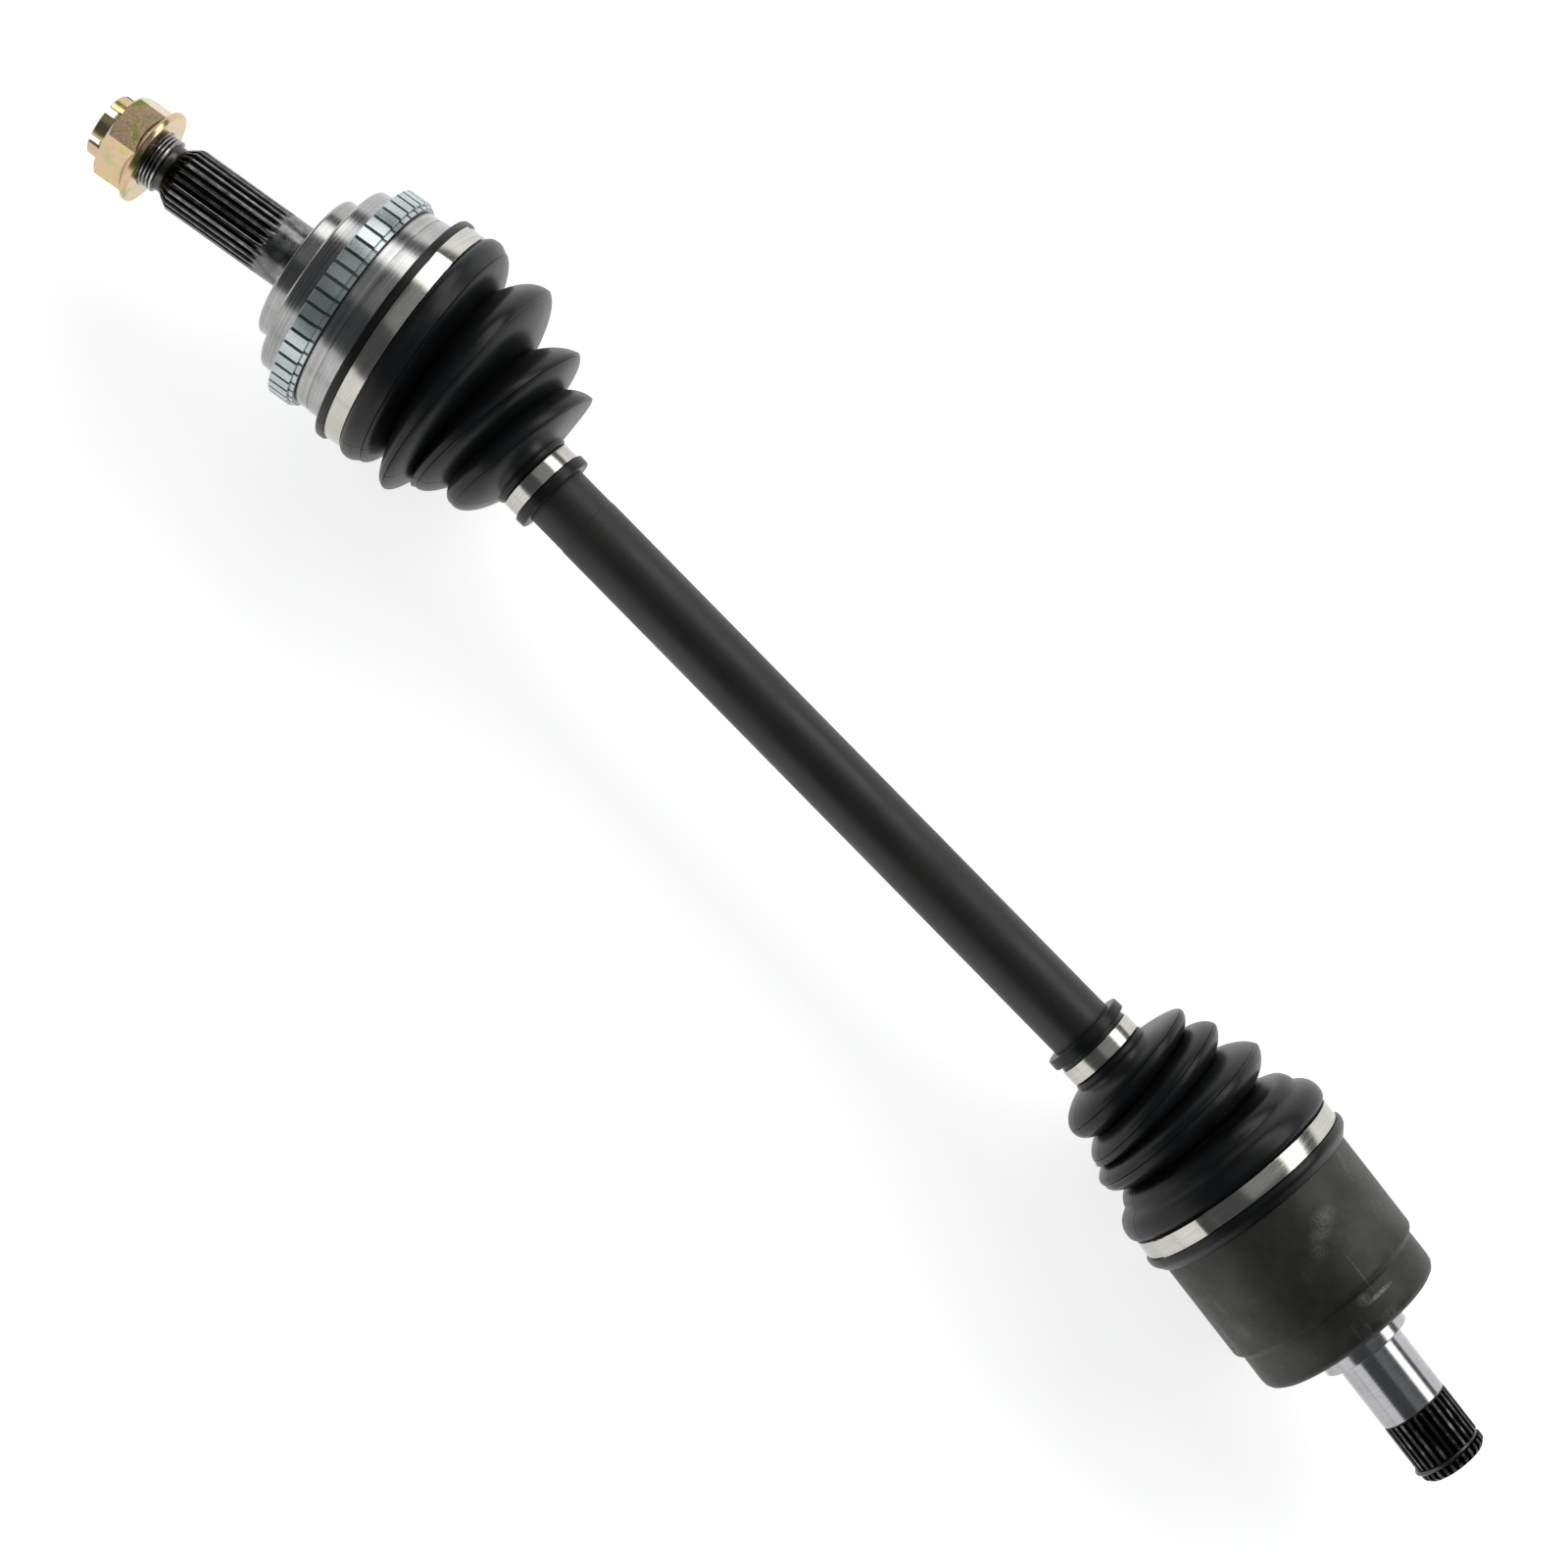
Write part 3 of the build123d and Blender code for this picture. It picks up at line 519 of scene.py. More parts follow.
def track_edge(x, angle):
    """Radius to which the ball tracks reach, found by halving, or 0 where there is none."""
    spacing = 2 * math.pi / track_count
    off = (angle + math.pi / 2 + spacing / 2) % spacing - spacing / 2
    low = np.sqrt(np.clip(cavity_r ** 2 - x ** 2, 0, None)) + 0 * off
    high = np.full_like(low, ball_circle_r + track_r + 1)

    def outside(r):
        ring = np.hypot(x, r * np.cos(off)) - ball_circle_r
        return ring ** 2 + (r * np.sin(off)) ** 2 > track_r ** 2
    found = ~outside(low) & (x < track_end)
    for _ in range(24):
        middle = (low + high) / 2
        out = outside(middle)
        high = np.where(out, middle, high)
        low = np.where(out, low, middle)
    return np.where(found, low, 0)


def race_rule(x, radius, angle):
    """Splines and thread outside; inside, marked by negative radius, the cavity and its tracks."""
    inside = radius < 0
    radius = np.abs(radius)
    on_spline = smooth(x, spline_start, spline_start + 6.5) * (x <= relief_start + 0.01)
    groove = radius - np.clip(radius, None, spline_root_r)
    radius = radius - groove * on_spline * tooth_depth(angle, hub_teeth) * (x > spline_start)
    wave = np.abs((x / thread_pitch - angle / (2 * math.pi)) % 1 - 0.5) * 2
    on_thread = smooth(x, thread_start - 0.9, thread_start + 0.6)
    on_thread = on_thread * (1 - smooth(x, stub_end - 1.6, stub_end - 0.9))
    radius = radius - on_thread * thread_depth * np.clip(1.25 * wave - 0.12, 0, 1)
    return np.where(inside, np.maximum(radius, track_edge(x, angle)), radius)


def finish_by_station(obj, axis, finishes, starts):
    """Several finishes on one piece: each start is the station beyond which the next finish begins."""
    for finish in finishes:
        obj.data.materials.append(finish)
    to_axis = np.array(axis.inverted())
    for face in obj.data.polygons:
        at = to_axis[0, :3] @ np.array(face.center) + to_axis[0, 3]
        face.material_index = int(sum(at > start for start in starts))


# %% Turn the forging
groove_start = bell_groove_at - 0.7
outside = rounded(
    (bell_mouth, 38.0), (bell_mouth, bell_seat_r, 0.8), (seat_end_at, bell_seat_r, 0.2),
    (seat_end_at, bell_r, 0.3), (groove_start, bell_r, 0.25), (groove_start, bell_r - 0.7, 0.1),
    (bell_groove_at, bell_r - 0.7, 0.1), (bell_groove_at, bell_r - 0.35, 0.2),
    (tone_start - 0.1, bell_r - 0.35, 0.5), (tone_start - 0.1, tone_seat_r, 0.1),
    (tone_end, tone_seat_r, 0.3), (tone_end, stop_boss_r + 0.6, 0.3),
    (boss_step_at - 0.9, stop_boss_r, 0.3),
    (boss_step_at, stop_boss_r - 0.9, 0.4), (boss_step_at, hub_boss_r + 1.0, 1.0),
    (boss_step_at + 1.0, hub_boss_r, 0.5), (shoulder_at - 0.9, hub_boss_r, 0.4),
    (shoulder_at, hub_boss_r - 0.9, 0.4), (shoulder_at, stub_r + 1.2, 1.0),
    (shoulder_at + 0.9, stub_r, 0.8), (spline_start, stub_r))
runout = [(x, stub_r) for x in stations(spline_start, spline_start + 7, 1.0)[1:]]
spline = rounded(
    (spline_start + 7.5, stub_r), (spline_end - 0.6, stub_r, 0.5), (relief_start, relief_r + 0.7, 0.8),
    (relief_start + 1.0, relief_r, 0.6), (thread_start - 1.6, relief_r, 0.6),
    (thread_start - 0.9, thread_r - 0.9))
thread = [(x, thread_r - max(0, x - stub_end + 1))
          for x in stations(thread_start - 0.7, stub_end, thread_pitch / 6)]
tip = rounded((stub_end, thread_r - 1.2), (stub_end, 4.0, 0.5), (stub_end - 2.0, 2.0, 0.3),
              (stub_end - 3.4, 0.0))
cavity = [(x, -math.sqrt(max(cavity_r ** 2 - x ** 2, 0))) for x in stations(cavity_r, -10.5, 1.1)]
mouth = [(-11.5, -33.0), (bell_mouth, -36.0)]
race = skin("outer_race_forging", [*cavity, *mouth, *outside, *runout, *spline, *thread, *tip],
            wheel_axis, hub_teeth * 14, rule=race_rule)
finish_by_station(race, wheel_axis, (turned_steel, hub_spline_steel, thread_steel),
                  (shoulder_at + 0.2, relief_start + 0.5))
weld_and_smooth(race)
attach(race, "outer_race")
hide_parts("outer_race")
describe(race)

# %% [markdown]
# ## Repeating a sector
#
# The tone ring has 48 equal teeth and the nut six equal sides.  An Array modifier with an object
# offset could repeat one of them, but it depends on a helper object and adds up its turning error.
# Geometry Nodes place every copy by its own number: the tree below instances one sector round the
# piece's axis, makes it real and welds it, so one sector is drawn and a ring comes out.

# %% The tree that repeats a sector
def socket(tree, name, kind, direction="INPUT", value=None):
    """A named socket of a tree, with its default; gives back the identifier that sets it."""
    made = tree.interface.new_socket(name, in_out=direction, socket_type=kind)
    if value is not None:
        made.default_value = value
    return made.identifier


def sector_tree():
    """Geometry Nodes: copies of a sector, evenly round X, welded into one ring."""
    tree = bpy.data.node_groups.new("repeat_sector_round_x", "GeometryNodeTree")
    keys = {"Sector": socket(tree, "Sector", "NodeSocketGeometry"),
            "Copies": socket(tree, "Copies", "NodeSocketInt", value=6),
            "First turn": socket(tree, "First turn", "NodeSocketFloat", value=0.0),
            "Weld": socket(tree, "Weld", "NodeSocketFloat", value=0.004),
            "Finish": socket(tree, "Finish", "NodeSocketMaterial")}
    socket(tree, "Ring", "NodeSocketGeometry", "OUTPUT")
    given = add(tree, "NodeGroupInput").outputs
    points = add(tree, "GeometryNodeMeshLine", {"Count": given["Copies"], "Offset": (0, 0, 0)})
    number = add(tree, "GeometryNodeInputIndex").outputs["Index"]
    pitch = reckon(tree, "DIVIDE", 2 * math.pi, given["Copies"])
    turn = add(tree, "ShaderNodeCombineXYZ",
               {"X": reckon(tree, "MULTIPLY_ADD", number, pitch, given["First turn"])})
    copies = add(tree, "GeometryNodeInstanceOnPoints", {
        "Points": points.outputs["Mesh"], "Instance": given["Sector"],
        "Rotation": turn.outputs["Vector"]})
    real = add(tree, "GeometryNodeRealizeInstances", {"Geometry": copies.outputs["Instances"]})
    welded = add(tree, "GeometryNodeMergeByDistance", {"Geometry": real.outputs["Geometry"],
                                                       "Distance": given["Weld"]})
    finished = add(tree, "GeometryNodeSetMaterial", {"Geometry": welded.outputs["Geometry"],
                                                     "Material": given["Finish"]})
    result = add(tree, "NodeGroupOutput")
    tree.links.new(finished.outputs["Geometry"], result.inputs["Ring"])
    return tree, keys


def run_nodes(obj, tree, keys, values, name, axis):
    """Runs a tree on an object drawn in millimetres, and returns the plain mesh in place."""
    modifier = obj.modifiers.new("nodes", "NODES")
    modifier.node_group = tree
    for key, value in values.items():
        modifier[keys[key]] = value
    evaluated = obj.evaluated_get(bpy.context.evaluated_depsgraph_get())
    mesh = bpy.data.meshes.new_from_object(evaluated)
    bpy.data.objects.remove(obj)
    mesh.name = name
    mesh.transform(axis)
    return placed(name, mesh)


repeat_sector, sector_keys = sector_tree()
drawn = Matrix.Identity(4)
print("sector tree inputs:", ", ".join(sector_keys))

# %% [markdown]
# ## Tone ring
#
# A wheel speed sensor counts its teeth: broad lands with narrow slots that stop at a thin lip on the
# bell's side.  One sector holds half a land, a slot and half a land, and the tree makes the other 47.

# %% Draw one tooth and repeat it
tone_teeth = 48
tone_lip = 1.8
tone_root_r = 43.64
slot_width = 1.1
slot_ease = 0.12


def slot_rule(x, radius, angle):
    """Lowers the lands to the slot's floor across the slot."""
    across = np.abs(radius * np.sin(angle))
    in_slot = (across < slot_width / 2 + 0.01) & (radius > tone_root_r)
    return np.where(in_slot, tone_root_r, radius)


half_pitch = math.pi / tone_teeth
slot_half = slot_width / 2 / tone_tip_r
slot_out = (slot_width / 2 + slot_ease) / tone_tip_r
lip_end = tone_start + tone_lip
tone_outline = rounded(
    (tone_start, tone_seat_r + 0.05), (tone_start, tone_root_r + 0.4, 0.3),
    (lip_end, tone_root_r + 0.4, 0.3), (lip_end, tone_root_r, 0.1), (lip_end + 0.1, tone_tip_r, 0.35),
    (tone_end, tone_tip_r, 0.35), (tone_end, tone_seat_r + 0.05))
tooth_sector = skin("tooth_sector", tone_outline, drawn, 0, closed=True, rule=slot_rule,
                    angles=[-half_pitch, -slot_out, -slot_half, slot_half, slot_out, half_pitch])
tone_ring = run_nodes(tooth_sector, repeat_sector, sector_keys, {
    "Copies": tone_teeth, "First turn": 0.0, "Weld": 0.004, "Finish": bright_zinc},
    "tone_ring_teeth", wheel_axis)
weld_and_smooth(tone_ring, 28)
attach(tone_ring, "outer_race")
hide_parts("tone_ring")
describe(tone_ring)

# %% [markdown]
# ## Castle nut
#
# A 32 mm hexagon on a conical flange, with a slotted crown for the split pin.  Booleans of a prism, a
# cone and six slots would do, but every edge curve of a real nut is where a flat meets a cone, and
# that can be written down.  So one side of the nut is drawn column by column, each column knowing
# where the flat leaves the flange's cone and where the top bevel cuts it, and the tree makes six.

# %% Draw one side of the nut and repeat it
across_flats = 32.0
nut_hex_start = nut_face + 5.6
nut_top = nut_face + 15.8
nut_rim = nut_face + 2.2
crown_r = 12.6
nut_bore_r = 11.1
bevel_height = 1.5
bevel_cut = 1.9
pin_slot = 3.4
nut_edge = 0.45
nut_turn = -11.0
corner_r = across_flats / math.sqrt(3)
hex_angles = np.radians(np.linspace(-30, 30, 17))
neck_r = across_flats / 2 - 0.6


def nut_column(angle, slotted):
    """Points (station, radius) of one column of the nut, from the bore's foot round to its top."""
    flat_r = across_flats / 2 / math.cos(angle)
    slope = (nut_flange_r - neck_r) / (nut_hex_start - nut_rim)
    leaves_cone = nut_rim + (nut_flange_r - flat_r) / slope
    bevel_r = corner_r - bevel_cut
    meets_bevel = nut_top - max(0, (flat_r - bevel_r) * bevel_height / bevel_cut)
    top_r = min(flat_r, bevel_r)
    crown_top = nut_top if slotted else nut_end
    lower = 0 if slotted else nut_edge
    return [(nut_face, nut_bore_r + 0.6), (nut_face, nut_flange_r - 0.8),
            (nut_face + 0.25, nut_flange_r - 0.25), (nut_face + 0.8, nut_flange_r),
            (nut_rim - 0.3, nut_flange_r), (nut_rim + 0.2, nut_flange_r - 0.25),
            (leaves_cone, flat_r), (meets_bevel, flat_r), (nut_top, top_r), (nut_top, crown_r + 0.3),
            (nut_top + (0 if slotted else 0.3), crown_r), (crown_top - lower, crown_r),
            (crown_top, crown_r - lower), (crown_top, nut_bore_r + nut_edge),
            (crown_top - lower, nut_bore_r), (nut_top - 1.0, nut_bore_r), (nut_face + 0.6, nut_bore_r)]


def nut_sector():
    """One side of the nut as a grid of columns, with a slot of the crown in its middle."""
    slot_angle = math.asin(pin_slot / 2 / crown_r)
    columns = [(a, False) for a in hex_angles if a < -slot_angle - 0.01]
    columns += [(-slot_angle, False), (-slot_angle, True), (0.0, True)]
    columns += [(slot_angle, True), (slot_angle, False)]
    columns += [(a, False) for a in hex_angles if a > slot_angle + 0.01]
    grid = [[(x, r * math.cos(a), r * math.sin(a)) for x, r in nut_column(a, s)] for a, s in columns]
    m, n = len(grid), len(grid[0])
    points = [p for column in grid for p in column]
    faces = [(j * n + i, (j + 1) * n + i, (j + 1) * n + (i + 1) % n, j * n + (i + 1) % n)
             for j in range(m - 1) for i in range(n)]
    mesh = bpy.data.meshes.new("nut_sector")
    mesh.from_pydata(points, [], faces)
    return placed("nut_sector", mesh)


nut = run_nodes(nut_sector(), repeat_sector, sector_keys, {
    "Copies": 6, "First turn": math.radians(120 + nut_turn), "Weld": 0.004, "Finish": yellow_chromate},
    "castle_nut", wheel_axis)
weld_and_smooth(nut, 24)
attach(nut, "axle_nut")
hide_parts("axle_nut")
describe(nut)

# %% [markdown]
# ## Tripod housing and gearbox stub
#
# Forged and coated outside, ground on its seal boss and journal, splined at its end, and hollow with
# three wide tracks for the rollers.  It is turned by the same grid as the bell.  Inside, a rule gives
# the edge of the three tracks by angle; outside, 28 splines run into the journal and a groove holds
# the set ring.

# %% Sizes and rules of the gearbox side forging
rear_r = 38.2
step_at = 33.0
housing_end = 48.6
seal_boss_r = 18.0
boss_end = 57.2
journal_r = 13.5
journal_end = 84.6
gear_root_r = 12.15
ring_groove_at = 105.7
ring_groove_half = 0.95
ring_groove_r = 11.05
gear_teeth = 28
roller_circle_r = 22.5
lobe_half = 17.15
lobe_roof = 34.0
cavity_end = 40.0
lobe_count = 3


def lobe_edge(angle):
    """Radius of the three-track cavity at an angle."""
    best = np.zeros_like(angle)
    for k in range(lobe_count):
        off = (angle - math.pi / 2 - k * 2 * math.pi / lobe_count + math.pi) % (2 * math.pi) - math.pi
        across = roller_circle_r * np.sin(off)
        reach_r = roller_circle_r * np.cos(off) + np.sqrt(np.clip(lobe_half ** 2 - across ** 2, 0, None))
        side = lobe_half / np.clip(np.abs(np.sin(off)), 1e-6, None)
        edge = np.where(side * np.cos(off) < roller_circle_r, side, reach_r)
        edge = np.minimum(edge, lobe_roof / np.clip(np.cos(off), 0.05, None))
        best = np.maximum(best, np.where(np.cos(off) > 0, edge, 0))
    return best


def housing_rule(x, radius, angle):
    """Splines outside; inside, marked by negative radius, the tracks' edge scaled by the given share."""
    inside = radius < 0
    teeth = tooth_depth(angle, gear_teeth) * smooth(x, journal_end + 0.6, journal_end + 1.4)
    outer = radius - np.clip(radius - gear_root_r, 0, None) * teeth
    inner = np.maximum(lobe_edge(angle) * np.minimum(-radius, 1), np.where(-radius > 1, -radius, 0))
    return np.where(inside, inner, outer)


# %% Turn the housing
groove_low, groove_high = ring_groove_at - ring_groove_half, ring_groove_at + ring_groove_half
shell = rounded(
    (housing_mouth, 35.0), (housing_mouth, housing_r, 0.7), (step_at - 3.0, housing_r, 0.9),
    (step_at - 0.4, rear_r - 0.15, 0.5), (step_at + 1.2, rear_r, 0.6),
    (housing_end - 0.2, rear_r + 0.1, 5.2), (housing_end, 25.0, 1.0),
    (housing_end - 0.2, seal_boss_r + 0.6, 0.4), (housing_end + 0.2, seal_boss_r, 0.3),
    (boss_end, seal_boss_r, 0.6), (boss_end, journal_r + 0.6, 0.4), (boss_end + 0.6, journal_r, 0.4),
    (journal_end, journal_r, 0.3), (journal_end + 0.5, journal_r - 0.25, 0.2),
    (journal_end + 1.4, journal_r, 0.3), (groove_low, journal_r, 0.15), (groove_low, ring_groove_r, 0.1),
    (groove_high, ring_groove_r, 0.1), (groove_high, journal_r, 0.15),
    (gear_end - 1.8, journal_r, 0.3), (gear_end, journal_r - 1.8, 0.3), (gear_end, 4.0, 0.4),
    (gear_end - 2.4, 1.6, 0.3), (gear_end - 3.6, 0.0), steps=4)
hollow = [(cavity_end, -0.001), (cavity_end, -0.5), (cavity_end, -0.96), (cavity_end - 1.0, -1.0)]
hollow += [(x, -1.0) for x in stations(cavity_end - 6, housing_mouth + 2.0, 8.0)]
hollow += [(housing_mouth, -1.0)]
housing = skin("tripod_housing_forging", [*hollow, *shell], gearbox_axis, gear_teeth * 12,
               rule=housing_rule)
finish_by_station(housing, gearbox_axis, (housing_phosphate, ground_steel, gear_spline_steel),
                  (housing_end - 0.05, journal_end + 0.1))
weld_and_smooth(housing)
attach(housing, "inner_housing")
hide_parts("inner_housing")
describe(housing)

# %% [markdown]
# ## Rubber boots
#
# Each boot is one moulded skin: a thick sleeve under the big band, folds that bend and stretch, and a
# small sleeve on the bar.  Cloth simulation could bend a straight boot, but its folds are stiff moulded
# rubber and keep their form.  So the folds are rings that shift and lean as the bent boot's do, and
# between a valley and a crest the skin swells along a parabola, with round crests and narrow valleys.
# A shallow parting line beside each crest is left by the mould.

# %% Folds between rings
boot_wall = 2.5
outer_fullness = 1.0
inner_fullness = 1.3
parting_share = 0.16
parting_depth = 0.28


def fold(valley, crest, fullness, steps=13, part=False):
    """Rings (station, offset, radius, lean) from a valley to a crest; fullness widens the crest."""
    shares = list(np.linspace(0, 1, steps + 1)[1:] ** 1.3)
    if part:
        line = 1 - parting_share
        beside = 0.03
        clear = [s for s in shares if abs(s - line) > beside]
        shares = sorted(clear + [line - beside, line, line + beside])
    rings = []
    for s in shares:
        x, y, r, lean = (a + (b - a) * s for a, b in zip(valley, crest))
        height = (1 - (1 - s) ** 2) ** (1 / fullness)
        r = valley[2] + (crest[2] - valley[2]) * height
        if part and abs(s - (1 - parting_share)) < 1e-9:
            r -= parting_depth
        rings.append((x, y, r, lean))
    return rings


def bellows(rings, first_is_crest, inboard_is_up, fullness):
    """The folded skin through a list of rings that are valleys and crests by turns."""
    made = [tuple(rings[0])]
    crest = first_is_crest
    for a, b in zip(rings, rings[1:]):
        if crest:
            down = fold(b, a, fullness, part=inboard_is_up)[::-1]
            made += down[1:] + [tuple(b)]
        else:
            made += fold(a, b, fullness, part=not inboard_is_up)
        crest = not crest
    return made


def on_wheel_axis(outline):
    """Rings of a sleeve drawn on the hub stub's axis, as the bar's axis sees them."""
    c, s = math.cos(math.radians(outer_bend)), math.sin(math.radians(outer_bend))
    return [(-x * c, -x * s, r, outer_bend) for x, r in outline]


def on_gearbox_axis(outline):
    """Rings of a sleeve drawn on the housing's axis, as the bar's axis sees them."""
    c, s = math.cos(math.radians(inner_bend)), math.sin(math.radians(inner_bend))
    return [(joint_spacing + x * c, -x * s, r, -inner_bend) for x, r in outline]


def on_bar(outline):
    """Rings of a sleeve on the bar."""
    return [(x, 0.0, r, 0.0) for x, r in outline]


def thinner(rings):
    """The inner skin of a stretch of folds."""
    return [(x, y, r - boot_wall, lean) for x, y, r, lean in rings]


def boot_piece(name, outer, inner):
    """One closed piece of a boot: its outside, and its inside taken backwards."""
    piece = skin(name, [*outer, *inner[::-1]], bar_axis, 160, closed=True)
    piece.data.materials.append(boot_rubber)
    weld_and_smooth(piece, 30)
    return piece


# %% [markdown]
# ### Outer boot
#
# The joint it covers bends most, so its skin is made in three pieces, which meet in a valley or at a
# parting line.

# %% Outer boot
outer_bore = bell_seat_r + 0.1
outer_land = bell_seat_r + 3.9
outer_bead = outer_land + 2.0
outer_shoulder = outer_land + 2.4
small_bore = 12.8
small_land = 14.8
small_bead = 16.8
outer_sleeve = rounded(
    (-0.7, outer_bore), (-0.7, outer_bead, 1.2), (-3.9, outer_bead, 0.7), (-3.9, outer_land, 0.2),
    (-11.3, outer_land, 0.3), (-11.5, outer_shoulder - 1.2, 0.6), (-13.0, outer_shoulder, 1.2),
    (-16.0, outer_shoulder + 0.2, 2.0), (-19.3, outer_shoulder - 1.8))
outer_folds = [(25.5, 3.0, 35.0, 10.0), (35.8, 3.9, 47.1, 4.4), (44.4, -0.5, 31.6, 1.9),
               (51.8, 4.0, 38.8, -5.8), (59.2, 1.9, 27.6, -5.0), (66.3, 2.4, 32.4, -8.0),
               (73.5, 0.0, 16.6, 0.0)]
outer_small = rounded((73.5, 16.6), (75.4, 15.8, 0.8), (75.9, small_land, 0.3), (82.7, small_land, 0.2),
                      (82.7, small_bead, 0.7), (87.0, small_bead - 0.2, 0.8), (87.0, small_bore))
shoulder_ring = on_wheel_axis(outer_sleeve)[-1]
first_folds = bellows([shoulder_ring, *outer_folds[:3]], True, True, outer_fullness)
second_folds = bellows(outer_folds[2:6], False, True, outer_fullness)
last_fold = bellows(outer_folds[5:], True, True, outer_fullness)
large_skin = on_wheel_axis(outer_sleeve) + first_folds[1:]
large_inside = on_wheel_axis([(-0.7, outer_bore), (-13.6, outer_bore), (-15.0, outer_shoulder - 4.3),
                              (-19.3, outer_shoulder - 4.3)]) + thinner(first_folds[1:])
boot_large = boot_piece("outer_boot_large_end", large_skin, large_inside)
boot_middle = boot_piece("outer_boot_middle", second_folds, thinner(second_folds))
boot_small = boot_piece("outer_boot_small_end", last_fold + on_bar(outer_small)[1:],
                        thinner(last_fold) + on_bar([(75.4, small_bore), (87.0, small_bore)]))
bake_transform(boot_large)
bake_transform(boot_middle)
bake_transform(boot_small)
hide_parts("outer_boot")
for piece in (boot_large, boot_middle, boot_small):
    describe(piece)

# %% [markdown]
# ### Inner boot
#
# The tripod joint bends less and slides.  Its folds are rounder.  The folds take the bend, and the
# shoulder beside the big band takes the slide.

# %% Inner boot
inner_land = housing_r + 2.0
inner_bead = inner_land + 2.0
inner_shoulder = inner_land + 2.3
inner_small_bore = 13.0
inner_small_land = 15.0
inner_small_bead = 17.0
inner_small = rounded(
    (362.2, inner_small_bore), (362.2, inner_small_bead - 0.2, 0.8), (366.6, inner_small_bead, 0.7),
    (366.6, inner_small_land, 0.2), (375.4, inner_small_land, 0.3), (375.9, 15.9, 0.6), (377.7, 16.2))
inner_folds = [(377.7, 0.0, 16.2, 0.0), (385.1, 1.4, 30.2, 5.0), (390.9, 1.8, 24.4, 6.0),
               (397.9, 3.1, 33.7, 4.9), (402.6, 0.4, 28.6, 1.4), (410.0, 4.3, 38.2, -1.4),
               (417.5, 2.2, 29.2, -4.4)]
inner_sleeve = rounded(
    (-43.0, 31.6), (-41.4, 36.6, 1.6), (-38.4, 38.6, 1.6), (-36.6, 38.8, 1.4), (-33.8, 43.0, 2.0),
    (-30.4, inner_shoulder, 2.0), (-26.6, inner_shoulder - 0.2, 1.2), (-24.9, inner_land, 0.5),
    (-17.2, inner_land, 0.2), (-17.2, inner_bead, 0.8), (-14.4, inner_bead, 1.2),
    (-10.7, housing_r + 0.9, 0.5), (-10.7, housing_r + 0.1))
gear_sleeve = on_gearbox_axis(inner_sleeve)
bend_folds = bellows(inner_folds, False, False, inner_fullness)
boot_bend = boot_piece("inner_boot_small_end", on_bar(inner_small) + bend_folds[1:],
                       on_bar([(362.2, inner_small_bore), (375.9, inner_small_bore)])
                       + thinner(bend_folds))
slide_fold = fold(inner_folds[-1], gear_sleeve[0], outer_fullness, 6)
boot_slide = boot_piece(
    "inner_boot_large_end", [inner_folds[-1], *slide_fold, *gear_sleeve[1:]],
    thinner([inner_folds[-1], *slide_fold]) + on_gearbox_axis(
        [(-38.0, 35.0), (-31.5, inner_shoulder - boot_wall), (-28.4, inner_shoulder - boot_wall),
         (-27.4, housing_r + 0.1), (-10.7, housing_r + 0.1)]))
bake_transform(boot_bend)
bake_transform(boot_slide)
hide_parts("inner_boot")
for piece in (boot_bend, boot_slide):
    describe(piece)

# %% [markdown]
# ## Boot bands
#
# Each boot is held by two bands of thin stainless strip, wrapped a little more than once.  A plain
# ring would look like a hoop, without the step where the strip ends.  Here a strip is swept
# along a spiral by Geometry Nodes: a path that climbs onto its own first turn, then Curve to Mesh with
# a flat, round-edged section.

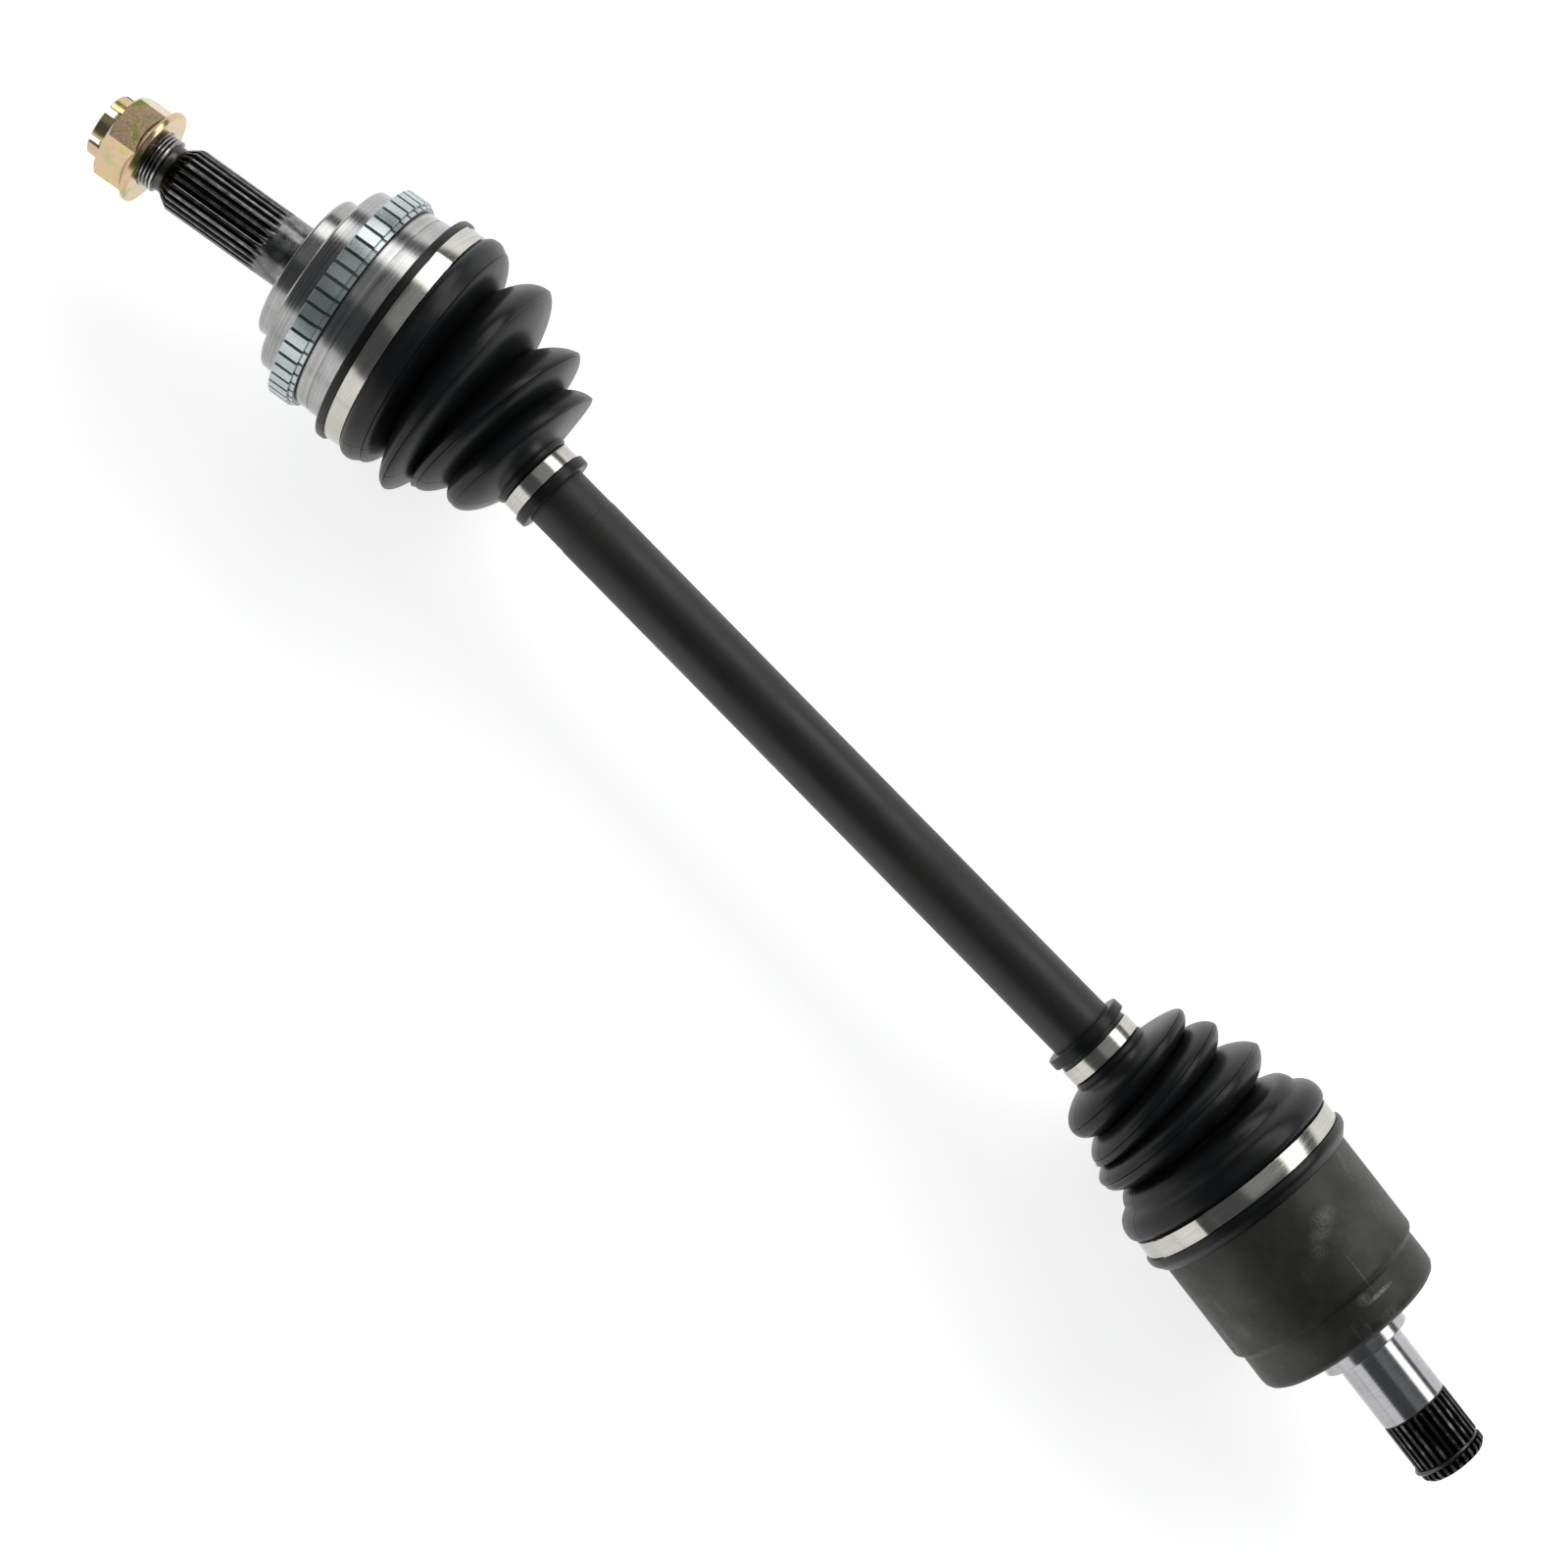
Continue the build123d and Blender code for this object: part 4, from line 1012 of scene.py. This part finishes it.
# %% The tree that wraps a band
def band_tree():
    """Geometry Nodes: a flat strip wrapped round X, climbing over its own start."""
    tree = bpy.data.node_groups.new("wrapped_band", "GeometryNodeTree")
    keys = {name: socket(tree, name, kind, value=value) for name, kind, value in (
        ("Section", "NodeSocketGeometry", None), ("Points", "NodeSocketInt", 240),
        ("Radius", "NodeSocketFloat", 15.0), ("Thickness", "NodeSocketFloat", 0.85),
        ("Wrap", "NodeSocketFloat", 6.8), ("Start turn", "NodeSocketFloat", 0.0),
        ("Station", "NodeSocketFloat", 0.0), ("Climb", "NodeSocketFloat", 0.15),
        ("Finish", "NodeSocketMaterial", None))}
    socket(tree, "Band", "NodeSocketGeometry", "OUTPUT")
    given = add(tree, "NodeGroupInput").outputs
    line = add(tree, "GeometryNodeMeshLine", {"Count": given["Points"], "Offset": (0, 0, 0)})
    number = add(tree, "GeometryNodeInputIndex").outputs["Index"]
    share = reckon(tree, "DIVIDE", number, reckon(tree, "SUBTRACT", given["Points"], 1.0))
    angle = reckon(tree, "MULTIPLY", share, given["Wrap"])
    place = reckon(tree, "ADD", angle, given["Start turn"])
    climb_to = reckon(tree, "SUBTRACT", 2 * math.pi, 0.01)
    climb_from = reckon(tree, "SUBTRACT", climb_to, given["Climb"])
    rise = add(tree, "ShaderNodeMapRange", {"Value": angle, "From Min": climb_from, "From Max": climb_to,
                                            "To Min": 0.0, "To Max": given["Thickness"]},
               interpolation_type="SMOOTHSTEP").outputs["Result"]
    radius = reckon(tree, "ADD", given["Radius"], rise)
    y = reckon(tree, "MULTIPLY", radius, reckon(tree, "COSINE", place))
    z = reckon(tree, "MULTIPLY", radius, reckon(tree, "SINE", place))
    at = add(tree, "ShaderNodeCombineXYZ", {"X": given["Station"], "Y": y, "Z": z}).outputs["Vector"]
    moved = add(tree, "GeometryNodeSetPosition", {"Geometry": line.outputs["Mesh"], "Position": at})
    curve = add(tree, "GeometryNodeMeshToCurve", {"Mesh": moved.outputs["Geometry"]})
    upright = add(tree, "GeometryNodeSetCurveNormal", {"Curve": curve.outputs["Curve"]})
    section = add(tree, "GeometryNodeMeshToCurve", {"Mesh": given["Section"]})
    swept = add(tree, "GeometryNodeCurveToMesh", {
        "Curve": upright.outputs["Curve"], "Profile Curve": section.outputs["Curve"], "Fill Caps": True})
    finished = add(tree, "GeometryNodeSetMaterial", {"Geometry": swept.outputs["Mesh"],
                                                     "Material": given["Finish"]})
    result = add(tree, "NodeGroupOutput")
    tree.links.new(finished.outputs["Geometry"], result.inputs["Band"])
    return tree, keys


wrapped_band, band_keys = band_tree()


def band_section(width, thickness, ease=0.22, steps=3):
    """Flat section with eased edges, as a closed loop of edges."""
    points = []
    for sx, sy, start in ((1, 1, 0), (-1, 1, 90), (-1, -1, 180), (1, -1, 270)):
        for a in np.radians(np.linspace(start, start + 90, steps + 1)):
            points.append((sx * (width / 2 - ease) + ease * math.cos(a),
                           sy * (thickness / 2 - ease) + ease * math.sin(a), 0))
    mesh = bpy.data.meshes.new("band_section")
    mesh.from_pydata(points, [(i, (i + 1) % len(points)) for i in range(len(points))], [])
    return placed("band_section", mesh)


# %% Wrap the four bands
band_thickness = 0.8
bands = (
    ("outer_large_clamp", wheel_axis, outer_land, 7.2, 130.0, 392.0, "outer_race"),
    ("outer_small_clamp", bar_axis, small_land, 6.4, 205.0, 445.0, "shaft"),
    ("inner_small_clamp", bar_axis, inner_small_land, 6.4, 205.0, 445.0, "shaft"),
    ("inner_large_clamp", gearbox_axis, inner_land, 7.2, 120.0, 392.0, "inner_housing"),
)
for node, axis, seat_r, width, start, wrap, body in bands:
    low, high, _ = reach(node, axis)
    band = run_nodes(band_section(width, band_thickness), wrapped_band, band_keys, {
        "Points": 300, "Radius": seat_r + 0.03 + band_thickness / 2, "Thickness": band_thickness + 0.03,
        "Wrap": math.radians(wrap), "Start turn": math.radians(start), "Station": (low + high) / 2,
        "Climb": 4.0 / seat_r, "Finish": band_steel}, node.replace("clamp", "band"), axis)
    weld_and_smooth(band, 30)
    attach(band, body)
    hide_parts(node)
    describe(band)

# %% [markdown]
# ## Pieces that keep their CAD shape
#
# The bar, the set ring and everything sealed inside the joints are already right in shape.  They only
# need their finishes: paint on the bar, oiled spring steel on the clips and the set ring, and ground
# hardened steel on the balls, cage, races, rollers and needles.

# %% Finishes for the CAD pieces
def finish_of(node):
    """The finish that a CAD piece takes, from its name."""
    if node == "axle_shaft":
        return bar_paint
    if "clip" in node or node == "set_ring":
        return spring_steel
    return hardened_steel


shown = [n for n, o in frame["nodes"].items() if not o.hide_render]
for node in shown:
    mesh = frame["nodes"][node].data
    mesh.materials.clear()
    mesh.materials.append(finish_of(node))
print(len(shown), "CAD pieces shown with their own finish")

# %% [markdown]
# ## Floor, lights and camera
#
# The shaft lies on a plain pale floor and is seen from straight above, as in a parts catalogue.  Its
# rounds mirror everything about them, so a bright sweep to the lower left, a long soft light to the
# upper right and a weak panel between them, overhead, give the steel its light and dark bands.

# %% Floor and world
low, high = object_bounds()
floor_size = 6.0
floor_gap = 0.0005
half = floor_size / 2
corners = [(-half, -half, 0), (half, -half, 0), (half, half, 0), (-half, half, 0)]
floor_mesh = bpy.data.meshes.new("floor")
floor_mesh.from_pydata(corners, [], [(0, 1, 2, 3)])
floor = placed("floor", floor_mesh)
floor.location = (0, 0, low.z - floor_gap)
floor_paint, _, floor_shader = finish_tree("floor_paint", (0.93, 0.93, 0.93), 0.0, 0.9)
floor_shader.inputs["Emission Color"].default_value = (1, 1, 1, 1)
floor_shader.inputs["Emission Strength"].default_value = 0.68
floor_mesh.materials.append(floor_paint)
world = bpy.data.worlds.new("studio")
bpy.context.scene.world = world
world.use_nodes = True
world.node_tree.nodes["Background"].inputs["Color"].default_value = (0.9, 0.95, 1.0, 1)
world.node_tree.nodes["Background"].inputs["Strength"].default_value = 0.10

# %% Camera
picture_side = 0.576
camera_height = 1.25
slant = math.radians(45.5)
picture_centre = bar_axis @ Vector((221.2, -14.6, 0))
bar_aside = Vector((0, 0, 1)).cross(bar_line)
picture_right = bar_line * math.cos(slant) + bar_aside * math.sin(slant)
picture_up = bar_aside * math.cos(slant) - bar_line * math.sin(slant)
camera = placed("camera", bpy.data.cameras.new("camera"))
camera.data.sensor_width = 36.0
camera.data.lens = 18.0 / math.tan(math.atan(picture_side / 2 / camera_height))
camera.matrix_world = Matrix.Translation(picture_centre + Vector((0, 0, camera_height))) @ Matrix(
    (picture_right, picture_up, Vector((0, 0, 1)))).transposed().to_4x4()
bpy.context.scene.camera = camera


# %% Lights
def soft_light(name, right, up, height, width, length, power):
    """Rectangular light, placed along the picture's right and up, aimed at the shaft's middle."""
    data = bpy.data.lights.new(name, "AREA")
    data.shape = "RECTANGLE"
    data.size, data.size_y, data.energy = width, length, power
    light = placed(name, data)
    place = picture_centre + picture_right * right + picture_up * up + Vector((0, 0, height))
    back = (place - picture_centre).normalized()
    along = (bar_line - back * bar_line.dot(back)).normalized()
    across = along.cross(back)
    light.matrix_world = Matrix.Translation(place) @ Matrix((along, -across, back)).transposed().to_4x4()
    return light


soft_light("key_upper_right", 0.77, 0.77, 0.70, 2.4, 0.62, 13)
soft_light("sweep_lower_left", -0.92, -0.92, 0.42, 2.6, 0.85, 8)
soft_light("overhead_panel", 0.42, 0.42, 2.0, 2.2, 1.6, 2.6)
bpy.context.scene.view_settings.view_transform = "Standard"
